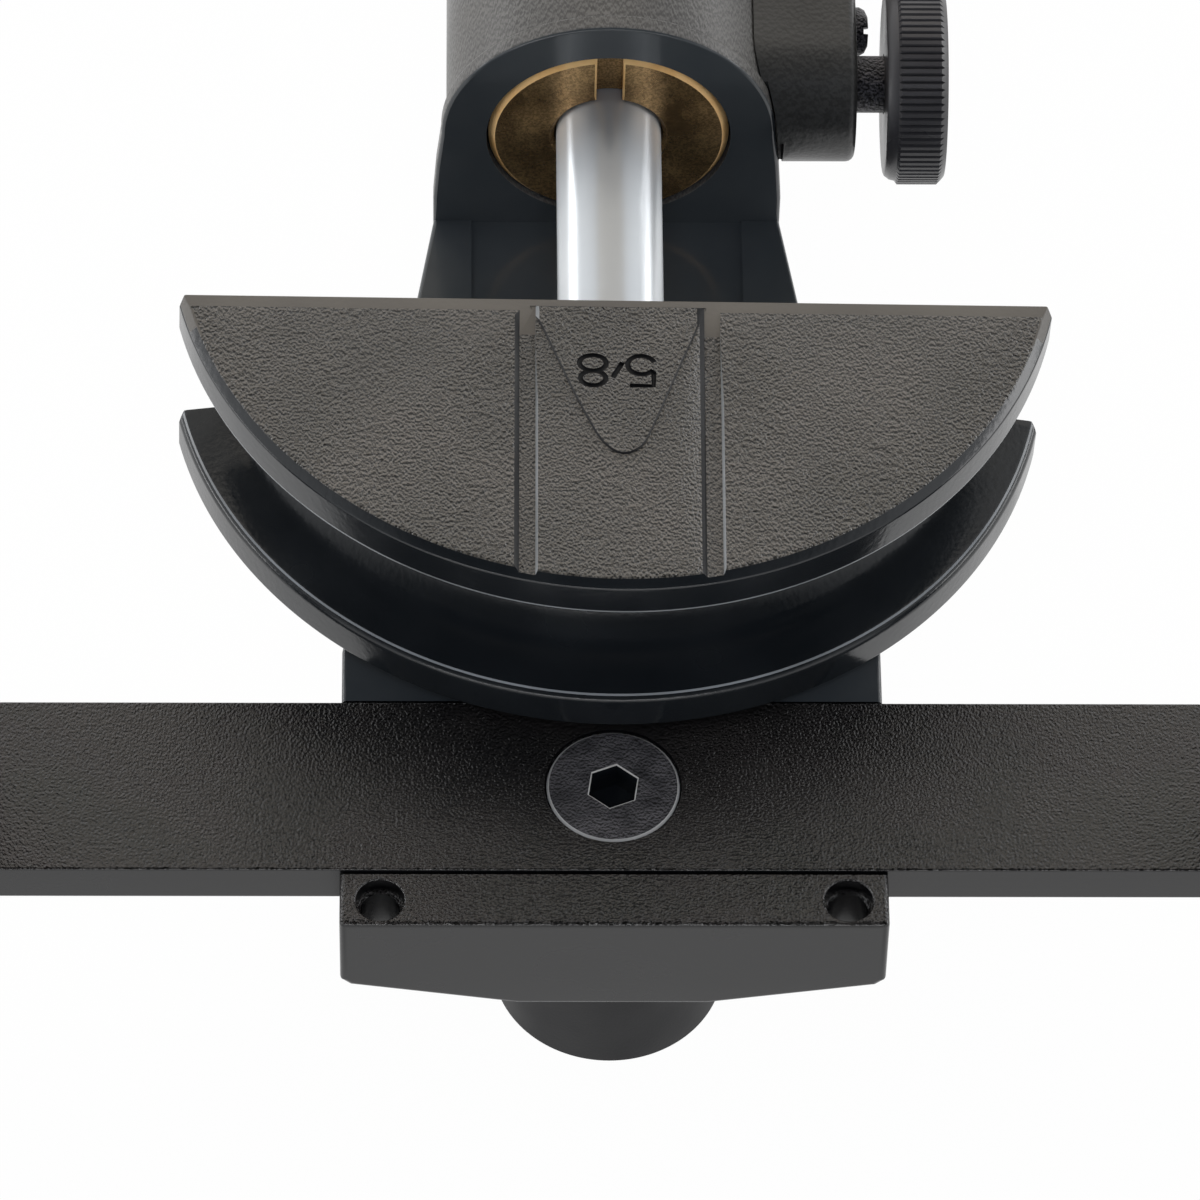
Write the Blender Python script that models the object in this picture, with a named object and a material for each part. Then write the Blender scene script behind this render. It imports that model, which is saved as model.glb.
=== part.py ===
"""Hydraulic pipe bender: a hand pump drives a ram that pushes a half-round former between two rollers.

Units are metres. +Z is up, the ram slides along Y, and the former comes out towards -Y.
The origin is the centre of the bench stub's bottom face, under the crossbar bolt.
"""
import math

import bmesh
import bpy
from mathutils import Matrix, Vector

# Clearances and overruns
GAP = 0.0003
LOOSE = 0.0005
CUT = 0.002
WELD = 0.000001

# Bench stub under the end block
STUB_DIAMETER = 0.0342
STUB_LENGTH = 0.0254
STUB_CHAMFER = 0.0006
STUB_BORE_DEPTH = 0.0190

# Yoke: end block, flared plate and cylinder head in one forging
BLOCK_DEPTH = 0.0211
BLOCK_END_DEPTH = 0.0163
BLOCK_FLAT_HALF = 0.0140
BLOCK_HALF_WIDTH = 0.0400
BLOCK_FRONT = 0.0243
BLOCK_REAR = 0.0248
BLOCK_BEVEL = 0.0012
BLOCK_SIDE_CHAMFER = 0.0014
PLATE_THICKNESS = 0.0150
PLATE_BEVEL = 0.0008
TRACK_HALF_WIDTH = 0.0208
TRACK_DEPTH = 0.0004
TRACK_FRONT = 0.0330
HEAD_FACE = 0.1066
HEAD_LENGTH = 0.0434
HEAD_RADIUS = 0.0255
HEAD_FOOT_HALF = 0.0267
HEAD_FLANGE = 0.0030
HEAD_BEVEL = 0.0006
RAM_HEIGHT = 0.0204
CORNER_HOLE_X = 0.0341
CORNER_HOLE_INSET = 0.0043
CORNER_HOLE_DIAMETER = 0.0072
CORNER_THREAD_DIAMETER = 0.0058
CORNER_HOLE_STEP = 0.0030

# Crossbar, its bolt and the roller pins
BAR_WIDTH = 0.0300
BAR_THICKNESS = 0.0070
BAR_LENGTH = 0.3200
BAR_PROUD = 0.0005
BAR_BEVEL = 0.0006
BOLT_HEAD_DIAMETER = 0.0196
BOLT_HEAD_LAND = 0.0005
BOLT_DIAMETER = 0.0100
BOLT_LENGTH = 0.0390
BOLT_SUNK = 0.0002
HEX_ACROSS_FLATS = 0.0067
HEX_DEPTH = 0.0050
ROLLER_INSET = 0.0440
SPARE_HOLE_INSET = 0.0140
PIN_DIAMETER = 0.0100
PIN_HEAD_DIAMETER = 0.0180
PIN_HEAD_HEIGHT = 0.0060
PIN_BELOW_BAR = 0.0080
PIN_CHAMFER = 0.0010

# Rollers with a half-round groove
ROLLER_RADIUS = 0.0190
ROLLER_BUSH_WALL = 0.0020
WASHER_THICKNESS = 0.0015
WASHER_RADIUS = 0.0125

# Former
TUBE_DIAMETER = 0.0159
TUBE_PLAY = 0.0002
BEND_RADIUS = 0.0603
RIM_REACH = 0.0059
GROOVE_FLARE = 0.0021
LIP_RADIUS = 0.0013
RIM_THICKNESS = 0.0078
RIM_EDGE = 0.0013
FORMER_REAR = 0.0608
FORMER_REAR_SETBACK = 0.0141
FORMER_CORNER = 0.0006
FORMER_BAND_WIDTH = 0.0017
FORMER_BAND_DROP = 0.0005
SOCKET_DEPTH = 0.0236
PAD_HALF_WIDTH = 0.0129
PAD_LENGTH = 0.0283
PAD_HEIGHT = 0.0002
CHANNEL_X = 0.0136
CHANNEL_WIDTH = 0.0023
CHANNEL_DEPTH = 0.0005
CHANNEL_END = 0.0025
FORMER_TWIST = math.radians(0.35)
FORMER_ROLL = math.radians(1.4)

# Ram, piston and return spring
RAM_DIAMETER = 0.0160
NOSE_CHAMFER = 0.0012
NOSE_RING_SECTION = 0.0018
NOSE_RING_SETBACK = 0.0080
TAIL_DIAMETER = 0.0120
PISTON_LENGTH = 0.0180
PISTON_NUT_LENGTH = 0.0067
PISTON_NUT_ACROSS = 0.0190
RAM_ADVANCE = 0.0600
RAM_RETRACT = 0.0380
SPRING_WIRE = 0.0022
SPRING_RADIUS = 0.0132
SPRING_TURNS = 8
SPRING_POINTS = 8
SPRING_SLACK = 0.0026

# Gland bush and cylinder
BUSH_DIAMETER = 0.0366
BUSH_LENGTH = 0.0277
BUSH_CHAMFER = 0.0010
BUSH_SLOT_WIDTH = 0.0039
BUSH_SLOT_DEPTH = 0.0027
ROD_SEAL_WALL = 0.0040
ROD_SEAL_LENGTH = 0.0055
BORE_DIAMETER = 0.0360
BARREL_RADIUS = 0.0247
SPIGOT_RADIUS = 0.0215
FRONT_WALL = 0.0060
PISTON_SEAL_SECTION = 0.0034
END_SPIGOT = 0.0080

# Pump body, foot pad and plunger
PUMP_LENGTH = 0.0480
PUMP_RADIUS = 0.0262
PUMP_FOOT_HALF = 0.0300
PUMP_FOOT_HEIGHT = 0.0080
PUMP_WAIST_HALF = 0.0240
PUMP_BEVEL = 0.0015
PAD_THICKNESS = 0.0030
PUMP_DECK_HALF = 0.0145
PUMP_DECK_RISE = 0.0008
PLUNGER_DIAMETER = 0.0120
PLUNGER_BORE_FLOOR = 0.0340
PLUNGER_CLEAR = 0.0150
GLAND_RADIUS = 0.0098
GLAND_HEIGHT = 0.0038
GLAND_THREAD = 0.0100
CHECK_BALL_DIAMETER = 0.0060
CHECK_BORE_DIAMETER = 0.0080
CHECK_BORE_DEPTH = 0.0210
CHECK_LEVEL = 0.0270
CHECK_PLUG_ACROSS = 0.0120
CHECK_PLUG_HEAD = 0.0030
CHECK_PLUG_THREAD = 0.0080
CHECK_SPRING_WIRE = 0.0008
CHECK_SPRING_TURNS = 3
COVER_SCREW_DIAMETER = 0.0050
COVER_SCREW_HEAD = 0.0085
COVER_SCREW_HEIGHT = 0.0030

# Pump lever
LEVER_ARM = 0.0220
EAR_THICKNESS = 0.0060
LEVER_HALF_THICKNESS = 0.0077
LEVER_HALF_DEPTH = 0.0090
PIVOT_RISE = 0.0142
PIVOT_DIAMETER = 0.0080
PIVOT_HEAD_RADIUS = 0.0060
PIVOT_HEAD_LENGTH = 0.0020
LINK_DIAMETER = 0.0060
LINK_SLOT_CLEAR = 0.0009
EYE_HALF_THICKNESS = 0.0038
EYE_RADIUS = 0.0055
EYE_SLOT_HALF = 0.0095
POCKET_ROOF = 0.0012
LEVER_TILT = math.radians(14)
LEVER_SWING = math.radians(30)
SOCKET_RADIUS = 0.0135
SOCKET_START = 0.0440
SOCKET_LENGTH = 0.0320
LEVER_TUBE_RADIUS = 0.0105
LEVER_TUBE_WALL = 0.0020
LEVER_TUBE_LENGTH = 0.1850
LEVER_GRIP_RADIUS = 0.0140
LEVER_GRIP_LENGTH = 0.1050
LEVER_GRIP_END = 0.0030

# Oil reservoir that is also the fixed handle
RESERVOIR_RADIUS = 0.0210
RESERVOIR_WALL = 0.0025
RESERVOIR_LENGTH = 0.1600
RESERVOIR_SPIGOT = 0.0120
BLADDER_RADIUS = 0.0165
BLADDER_ROOM = 0.0187
CAP_LENGTH = 0.0160
CAP_SPIGOT = 0.0090
FILLER_RADIUS = 0.0070
FILLER_HEAD = 0.0040
FILLER_THREAD_RADIUS = 0.0045
FILLER_THREAD = 0.0100
FILLER_SLOT = 0.0012
HANDLE_GRIP_RADIUS = 0.0245
HANDLE_GRIP_LENGTH = 0.1080
HANDLE_GRIP_SETBACK = 0.0060
GRIP_EDGE = 0.0016

# Valve block on the right flank, release valve and plug
VALVE_HALF_HEIGHT = 0.0118
VALVE_OUTER = 0.0377
VALVE_AXIS_SETBACK = 0.0105
VALVE_BEVEL = 0.0012
VALVE_ROOT = 0.0150
STEM_RADIUS = 0.00435
STEM_BORE_DEPTH = 0.0100
RELEASE_BALL_RADIUS = 0.0025
KNOB_START = 0.0422
KNOB_LENGTH = 0.0092
KNOB_RADIUS = 0.0153
KNOB_CHAMFER = 0.0010
KNOB_RECESS_RADIUS = 0.0100
KNOB_RECESS_DEPTH = 0.0012
KNOB_CAP_RADIUS = 0.0070
KNOB_CAP_HEIGHT = 0.0010
PLUG_SETBACK = 0.0105
PLUG_RADIUS = 0.00375
PLUG_DOME = 0.0022
PLUG_THREAD_RADIUS = 0.0027
PLUG_THREAD = 0.0070
O_RING_SECTION = 0.0018

# Facets
ROUND = 32
SMALL_ROUND = 16
FORMER_STEPS = 76
ARC_STEPS = 6

# Levels and stations worked out from the sizes above
BLOCK_TOP = STUB_LENGTH + GAP + BLOCK_DEPTH
BAR_TOP = BLOCK_TOP + BAR_PROUD
AXIS_Z = BLOCK_TOP + RAM_HEIGHT
RAM_RADIUS = RAM_DIAMETER / 2
GROOVE_RADIUS = TUBE_DIAMETER / 2 + TUBE_PLAY
FLANGE_RADIUS = BEND_RADIUS + RIM_REACH
FLANK = GROOVE_RADIUS + GROOVE_FLARE
FORMER_HALF = FLANK + RIM_THICKNESS
ROLLER_X = BAR_LENGTH / 2 - ROLLER_INSET
SPARE_HOLE_X = BAR_LENGTH / 2 - SPARE_HOLE_INSET
FORMER_CENTRE_Y = FORMER_REAR + FORMER_REAR_SETBACK
NOSE_END = FORMER_REAR - SOCKET_DEPTH + GAP
HEAD_END = HEAD_FACE + HEAD_LENGTH
BUSH_END = HEAD_FACE + BUSH_LENGTH
BUSH_RADIUS = BUSH_DIAMETER / 2
SPIGOT_FRONT = BUSH_END + GAP
BARREL_FRONT = HEAD_END + GAP
CHAMBER_FRONT = SPIGOT_FRONT + FRONT_WALL
SPRING_ROOM = SPRING_TURNS * SPRING_WIRE + SPRING_SLACK
PISTON_ROOM = PISTON_LENGTH + GAP + PISTON_NUT_LENGTH + LOOSE
CHAMBER_END = CHAMBER_FRONT + SPRING_ROOM + RAM_ADVANCE + PISTON_ROOM + RAM_RETRACT
BARREL_END = CHAMBER_END + END_SPIGOT
BORE_RADIUS = BORE_DIAMETER / 2
PUMP_FRONT = BARREL_END + GAP
PUMP_END = PUMP_FRONT + PUMP_LENGTH
PISTON_NUT_END = CHAMBER_END - RAM_RETRACT - LOOSE
PISTON_REAR = PISTON_NUT_END - PISTON_NUT_LENGTH - GAP
PISTON_FRONT = PISTON_REAR - PISTON_LENGTH
PISTON_RADIUS = BORE_RADIUS - GAP
PLUNGER_Y = PUMP_END - PLUNGER_CLEAR
PLUNGER_RADIUS = PLUNGER_DIAMETER / 2
PIVOT_Y = PLUNGER_Y - LEVER_ARM
DECK_TOP = AXIS_Z + PUMP_RADIUS + PUMP_DECK_RISE
PIVOT_Z = DECK_TOP + PIVOT_RISE
PIVOT = Vector((0, PIVOT_Y, PIVOT_Z))
LINK_SLOT_RUN = LEVER_ARM / math.cos(LEVER_SWING) - LEVER_ARM + LINK_SLOT_CLEAR
VALVE_Y = HEAD_FACE + VALVE_AXIS_SETBACK
VALVE_AXIS = Vector((0, VALVE_Y, AXIS_Z))
RESERVOIR_FRONT = PUMP_END + GAP
RESERVOIR_END = RESERVOIR_FRONT + RESERVOIR_LENGTH
CAP_FRONT = RESERVOIR_END + GAP
CAP_END = CAP_FRONT + CAP_LENGTH
LEVER_LINE = Vector((0, math.cos(LEVER_TILT), math.sin(LEVER_TILT)))
ROLLER_BOTTOM = BAR_TOP + GAP + WASHER_THICKNESS + GAP
ROLLER_TOP = 2 * AXIS_Z - ROLLER_BOTTOM

X_AXIS = Vector((1, 0, 0))
Y_AXIS = Vector((0, 1, 0))
Z_AXIS = Vector((0, 0, 1))


def clear_scene():
    for old in list(bpy.data.objects):
        bpy.data.objects.remove(old)


def srgb(hex_colour):
    """Linear colour of an sRGB hex value."""
    values = []
    for index in (1, 3, 5):
        value = int(hex_colour[index:index + 2], 16) / 255
        linear = value / 12.92 if value <= 0.04045 else ((value + 0.055) / 1.055) ** 2.4
        values.append(linear)
    return (*values, 1)


def finish(name, hex_colour, roughness, metallic):
    """A plain material with the colour, roughness and metal share of one finish."""
    material = bpy.data.materials.new(name)
    material.use_nodes = True
    shader = material.node_tree.nodes["Principled BSDF"]
    shader.inputs["Base Color"].default_value = srgb(hex_colour)
    shader.inputs["Roughness"].default_value = roughness
    shader.inputs["Metallic"].default_value = metallic
    material.diffuse_color = srgb(hex_colour)
    return material


def turned(profile, start, axis, steps=ROUND, ring=False):
    """A turned solid. The profile lists (radius, length along the axis) from one end to the other."""
    mesh = bmesh.new()
    points = [mesh.verts.new((radius, 0, length)) for radius, length in profile]
    for first, second in zip(points, points[1:]):
        mesh.edges.new((first, second))
    if ring:
        mesh.edges.new((points[-1], points[0]))
    outline = mesh.verts[:] + mesh.edges[:]
    turn = {"axis": Z_AXIS, "angle": math.tau, "steps": steps, "use_merge": True}
    bmesh.ops.spin(mesh, geom=outline, cent=(0, 0, 0), **turn)
    bmesh.ops.remove_doubles(mesh, verts=mesh.verts[:], dist=WELD)
    bmesh.ops.recalc_face_normals(mesh, faces=mesh.faces[:])
    lay = Z_AXIS.rotation_difference(axis).to_matrix().to_4x4()
    mesh.transform(Matrix.Translation(start) @ lay)
    return mesh


def rod(radius, start, axis, length, steps=ROUND, chamfer=0):
    """A round bar with an optional chamfer at both ends."""
    profile = [(0, 0), (radius, 0), (radius, length), (0, length)]
    if chamfer:
        low = [(0, 0), (radius - chamfer, 0), (radius, chamfer)]
        high = [(radius, length - chamfer), (radius - chamfer, length), (0, length)]
        profile = low + high
    return turned(profile, start, axis, steps)


def ring_solid(outer, inner, start, axis, length, steps=ROUND, chamfer=0):
    """A plain ring or tube with an optional chamfer on its outer edges."""
    profile = [(inner, 0), (outer - chamfer, 0), (outer, chamfer)]
    profile += [(outer, length - chamfer), (outer - chamfer, length), (inner, length)]
    if not chamfer:
        profile = [(inner, 0), (outer, 0), (outer, length), (inner, length)]
    return turned(profile, start, axis, steps, ring=True)


def torus(radius, section, centre, axis, steps=ROUND):
    """A round ring of round section."""
    count = ARC_STEPS
    profile = []
    for index in range(count):
        angle = math.tau * index / count
        profile.append((radius + section / 2 * math.cos(angle), section / 2 * math.sin(angle)))
    return turned(profile, centre, axis, steps, ring=True)


def ball(radius, centre, steps=SMALL_ROUND):
    profile = []
    for index in range(ARC_STEPS + 1):
        angle = math.pi * index / ARC_STEPS
        profile.append((radius * math.sin(angle), -radius * math.cos(angle)))
    profile[0] = (0, -radius)
    profile[-1] = (0, radius)
    return turned(profile, centre, Z_AXIS, steps)


def prism(outline, axis, low, high):
    """An outline pushed along X, Y or Z from low to high."""
    mesh = bmesh.new()
    corners = []
    for first, second in outline:
        place = {"X": (low, first, second), "Y": (first, low, second), "Z": (first, second, low)}[axis]
        corners.append(mesh.verts.new(place))
    face = mesh.faces.new(corners)
    pushed = bmesh.ops.extrude_face_region(mesh, geom=[face])
    moved = [item for item in pushed["geom"] if isinstance(item, bmesh.types.BMVert)]
    shift = {"X": X_AXIS, "Y": Y_AXIS, "Z": Z_AXIS}[axis] * (high - low)
    bmesh.ops.translate(mesh, vec=shift, verts=moved)
    bmesh.ops.recalc_face_normals(mesh, faces=mesh.faces[:])
    return mesh


def box(x_span, y_span, z_span):
    outline = [(x_span[0], y_span[0]), (x_span[1], y_span[0])]
    outline += [(x_span[1], y_span[1]), (x_span[0], y_span[1])]
    return prism(outline, "Z", *z_span)


def arc(centre, radius, start, end, steps=ARC_STEPS):
    """Points on an arc, from one angle to the other, both in degrees."""
    points = []
    for index in range(steps + 1):
        angle = math.radians(start + (end - start) * index / steps)
        points.append((centre[0] + radius * math.cos(angle), centre[1] + radius * math.sin(angle)))
    return points


def hexagon(across, centre, axis, low, high):
    radius = across / 2 / math.cos(math.pi / 6)
    outline = [point for point in arc(centre, radius, 0, 300, 5)]
    return prism(outline, axis, low, high)


def part(name, mesh, material, pivot=None):
    """Makes the named object. A moving piece gets its origin on its joint's axis."""
    data = bpy.data.meshes.new(name)
    place = pivot or Vector((0, 0, 0))
    mesh.transform(Matrix.Translation(-place))
    mesh.to_mesh(data)
    mesh.free()
    data.shade_smooth()
    data.set_sharp_from_angle(angle=math.radians(30))
    data.materials.append(material)
    piece = bpy.data.objects.new(name, data)
    piece.location = place
    bpy.context.scene.collection.objects.link(piece)
    return piece


def combine(piece, mesh, operation):
    """Joins a shape to a piece, or cuts it out, with a live Boolean."""
    data = bpy.data.meshes.new(piece.name + "_tool")
    mesh.to_mesh(data)
    mesh.free()
    tool = bpy.data.objects.new(data.name, data)
    tool.hide_render = True
    tool.display_type = "WIRE"
    bpy.context.scene.collection.objects.link(tool)
    change = piece.modifiers.new(operation.lower(), "BOOLEAN")
    change.object = tool
    change.operation = operation
    change.solver = "EXACT"
    return tool


def cut(piece, mesh):
    return combine(piece, mesh, "DIFFERENCE")


def add(piece, mesh):
    return combine(piece, mesh, "UNION")


def round_edges(piece, width, segments=2, angle=40):
    bevel = piece.modifiers.new("edges", "BEVEL")
    bevel.width = width
    bevel.segments = segments
    bevel.limit_method = "ANGLE"
    bevel.angle_limit = math.radians(angle)
    return bevel


def bevel_sharp(mesh, width):
    """Rounds the edges of a shape where its faces meet at a steep angle."""
    edges = [edge for edge in mesh.edges if edge.calc_face_angle() > math.radians(60)]
    settings = {"affect": "EDGES", "segments": 2, "profile": 0.5, "material": -1}
    bmesh.ops.bevel(mesh, geom=edges, offset=width, **settings)


def coil(name, material, radius, wire, turns, start, axis, length, pivot=None):
    """One unbroken spring wire, wound evenly from end to end."""
    lay = Z_AXIS.rotation_difference(axis).to_matrix()
    place = pivot or Vector((0, 0, 0))
    points = []
    count = turns * SPRING_POINTS
    for index in range(count + 1):
        angle = math.tau * index / SPRING_POINTS
        height = wire / 2 + (length - wire) * index / count
        points.append(start + lay @ Vector((radius * math.cos(angle), radius * math.sin(angle), height)))
    curve = bpy.data.curves.new(name, "CURVE")
    curve.dimensions = "3D"
    curve.bevel_depth = wire / 2
    curve.bevel_resolution = 1
    curve.use_fill_caps = True
    spline = curve.splines.new("POLY")
    spline.points.add(len(points) - 1)
    for item, point in zip(spline.points, points):
        item.co = (*(point - place), 1)
    curve.materials.append(material)
    piece = bpy.data.objects.new(name, curve)
    piece.location = place
    bpy.context.scene.collection.objects.link(piece)
    pitch = (length - wire) / turns
    print(name, "least gap between turns in mm", round((pitch - wire) * 1000, 2))
    return piece


def yoke_frame(material):
    """End block, plate that narrows to the head, and the cylinder head with its arch-shaped flange."""
    head_half = HEAD_FOOT_HALF
    neck = BARREL_RADIUS - GAP
    flange_end = HEAD_FACE + HEAD_FLANGE
    plan = [(-BLOCK_HALF_WIDTH, -BLOCK_FRONT), (BLOCK_HALF_WIDTH, -BLOCK_FRONT)]
    plan += [(BLOCK_HALF_WIDTH, BLOCK_REAR), (head_half, HEAD_FACE), (head_half, flange_end)]
    plan += [(neck, flange_end), (neck, HEAD_END), (-neck, HEAD_END), (-neck, flange_end)]
    plan += [(-head_half, flange_end), (-head_half, HEAD_FACE), (-BLOCK_HALF_WIDTH, BLOCK_REAR)]
    frame = part("yoke_frame", prism(plan, "Z", BLOCK_TOP - PLATE_THICKNESS, BLOCK_TOP), material)
    round_edges(frame, PLATE_BEVEL, 1)
    side = BLOCK_TOP - BLOCK_END_DEPTH
    under = BLOCK_TOP - BLOCK_DEPTH
    chamfer = BLOCK_SIDE_CHAMFER
    front = [(-BLOCK_HALF_WIDTH, BLOCK_TOP), (-BLOCK_HALF_WIDTH, side + chamfer)]
    front += [(-BLOCK_HALF_WIDTH + chamfer, side), (-BLOCK_FLAT_HALF, under), (BLOCK_FLAT_HALF, under)]
    front += [(BLOCK_HALF_WIDTH - chamfer, side), (BLOCK_HALF_WIDTH, side + chamfer)]
    front += [(BLOCK_HALF_WIDTH, BLOCK_TOP)]
    block = prism(front, "Y", -BLOCK_FRONT, BLOCK_REAR)
    bevel_sharp(block, BLOCK_BEVEL)
    add(frame, block)
    arch = [(HEAD_FOOT_HALF, BLOCK_TOP - PLATE_THICKNESS + PLATE_BEVEL)]
    arch += arc((0, AXIS_Z), HEAD_RADIUS, 0, 180, 32)
    arch += [(-HEAD_FOOT_HALF, BLOCK_TOP - PLATE_THICKNESS + PLATE_BEVEL)]
    flange = prism(arch, "Y", HEAD_FACE, flange_end)
    bevel_sharp(flange, HEAD_BEVEL)
    add(frame, flange)
    housing = [(BARREL_RADIUS, BLOCK_TOP - PLATE_THICKNESS + PLATE_BEVEL)]
    housing += arc((0, AXIS_Z), BARREL_RADIUS, 0, 180, 32)
    housing += [(-BARREL_RADIUS, BLOCK_TOP - PLATE_THICKNESS + PLATE_BEVEL)]
    add(frame, prism(housing, "Y", HEAD_FACE + HEAD_FLANGE / 2, HEAD_END))
    slot_floor = BAR_TOP - BAR_THICKNESS - GAP
    slot_half = BAR_WIDTH / 2 + LOOSE
    wide = BLOCK_HALF_WIDTH + CUT
    cut(frame, box((-wide, wide), (-slot_half, slot_half), (slot_floor, BLOCK_TOP + CUT)))
    track = (-TRACK_HALF_WIDTH, TRACK_HALF_WIDTH)
    cut(frame, box(track, (TRACK_FRONT, HEAD_FACE), (BLOCK_TOP - TRACK_DEPTH, BLOCK_TOP + CUT)))
    face = Vector((0, HEAD_FACE - CUT, AXIS_Z))
    bush_bore = BUSH_RADIUS + GAP
    spigot_bore = SPIGOT_RADIUS + GAP
    bore = [(0, 0), (bush_bore, 0), (bush_bore, BUSH_LENGTH + CUT), (spigot_bore, BUSH_LENGTH + CUT)]
    bore += [(spigot_bore, HEAD_LENGTH + CUT + CUT), (0, HEAD_LENGTH + CUT + CUT)]
    cut(frame, turned(bore, face, Y_AXIS))
    bolt_hole = BOLT_DIAMETER / 2 + GAP
    cut(frame, rod(bolt_hole, Vector((0, 0, under - CUT)), Z_AXIS, BLOCK_DEPTH + CUT, SMALL_ROUND))
    for side_sign in (-1, 1):
        place = Vector((side_sign * CORNER_HOLE_X, CORNER_HOLE_INSET - BLOCK_FRONT, under - CUT))
        step = BLOCK_DEPTH + CUT - CORNER_HOLE_STEP
        wall = CORNER_HOLE_DIAMETER / 2
        thread = CORNER_THREAD_DIAMETER / 2
        shape = [(0, 0), (thread, 0), (thread, step), (wall, step), (wall, step + CORNER_HOLE_STEP + CUT)]
        shape += [(0, step + CORNER_HOLE_STEP + CUT)]
        cut(frame, turned(shape, place, Z_AXIS, SMALL_ROUND))
    return frame


def bench_stub(material):
    radius = STUB_DIAMETER / 2
    bore = BOLT_DIAMETER / 2 + GAP
    floor = STUB_LENGTH - STUB_BORE_DEPTH
    profile = [(0, 0), (radius - STUB_CHAMFER, 0), (radius, STUB_CHAMFER), (radius, STUB_LENGTH)]
    profile += [(bore, STUB_LENGTH), (bore, floor), (0, floor)]
    return part("bench_stub", turned(profile, Vector((0, 0, 0)), Z_AXIS), material)


def crossbar(material):
    half = BAR_WIDTH / 2
    bottom = BAR_TOP - BAR_THICKNESS
    x_span = (-BAR_LENGTH / 2, BAR_LENGTH / 2)
    bar = part("crossbar", box(x_span, (-half, half), (bottom, BAR_TOP)), material)
    round_edges(bar, BAR_BEVEL, 1)
    head = BOLT_HEAD_DIAMETER / 2 + GAP
    hole = BOLT_DIAMETER / 2 + GAP
    land = BAR_THICKNESS - BOLT_HEAD_LAND - BOLT_SUNK
    cone = land - (head - hole)
    shape = [(0, -CUT), (hole, -CUT), (hole, cone), (head, land), (head, BAR_THICKNESS + CUT)]
    shape += [(0, BAR_THICKNESS + CUT)]
    cut(bar, turned(shape, Vector((0, 0, bottom)), Z_AXIS))
    pin = PIN_DIAMETER / 2 + GAP
    for place in (-SPARE_HOLE_X, -ROLLER_X, ROLLER_X, SPARE_HOLE_X):
        start = Vector((place, 0, bottom - CUT))
        cut(bar, rod(pin, start, Z_AXIS, BAR_THICKNESS + CUT + CUT, SMALL_ROUND))
    return bar


def crossbar_bolt(material):
    """Countersunk bolt with a hexagon socket. Its thread ends in the bench stub."""
    head = BOLT_HEAD_DIAMETER / 2
    shank = BOLT_DIAMETER / 2
    top = BAR_TOP - BOLT_SUNK
    cone = BOLT_LENGTH - BOLT_HEAD_LAND - (head - shank)
    profile = [(0, 0), (shank - PIN_CHAMFER, 0), (shank, PIN_CHAMFER), (shank, cone)]
    profile += [(head, BOLT_LENGTH - BOLT_HEAD_LAND), (head, BOLT_LENGTH), (0, BOLT_LENGTH)]
    bolt = part("crossbar_bolt", turned(profile, Vector((0, 0, top - BOLT_LENGTH)), Z_AXIS), material)
    cut(bolt, hexagon(HEX_ACROSS_FLATS, (0, 0), "Z", top - HEX_DEPTH, top + CUT))
    return bolt


def groove_profile():
    """Outer line of the former, as (radius, height): chamfered rims, rounded lips and the groove between."""
    outer = FLANGE_RADIUS
    low = [(outer - RIM_EDGE, -FORMER_HALF), (outer, -FORMER_HALF + RIM_EDGE)]
    low += arc((outer - LIP_RADIUS, -FLANK - LIP_RADIUS), LIP_RADIUS, 0, 90, ARC_STEPS // 2)
    high = [(radius, -height) for radius, height in reversed(low)]
    bowl = arc((BEND_RADIUS, 0), GROOVE_RADIUS, 270, 90, ARC_STEPS * 2)
    return low + bowl + high


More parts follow.
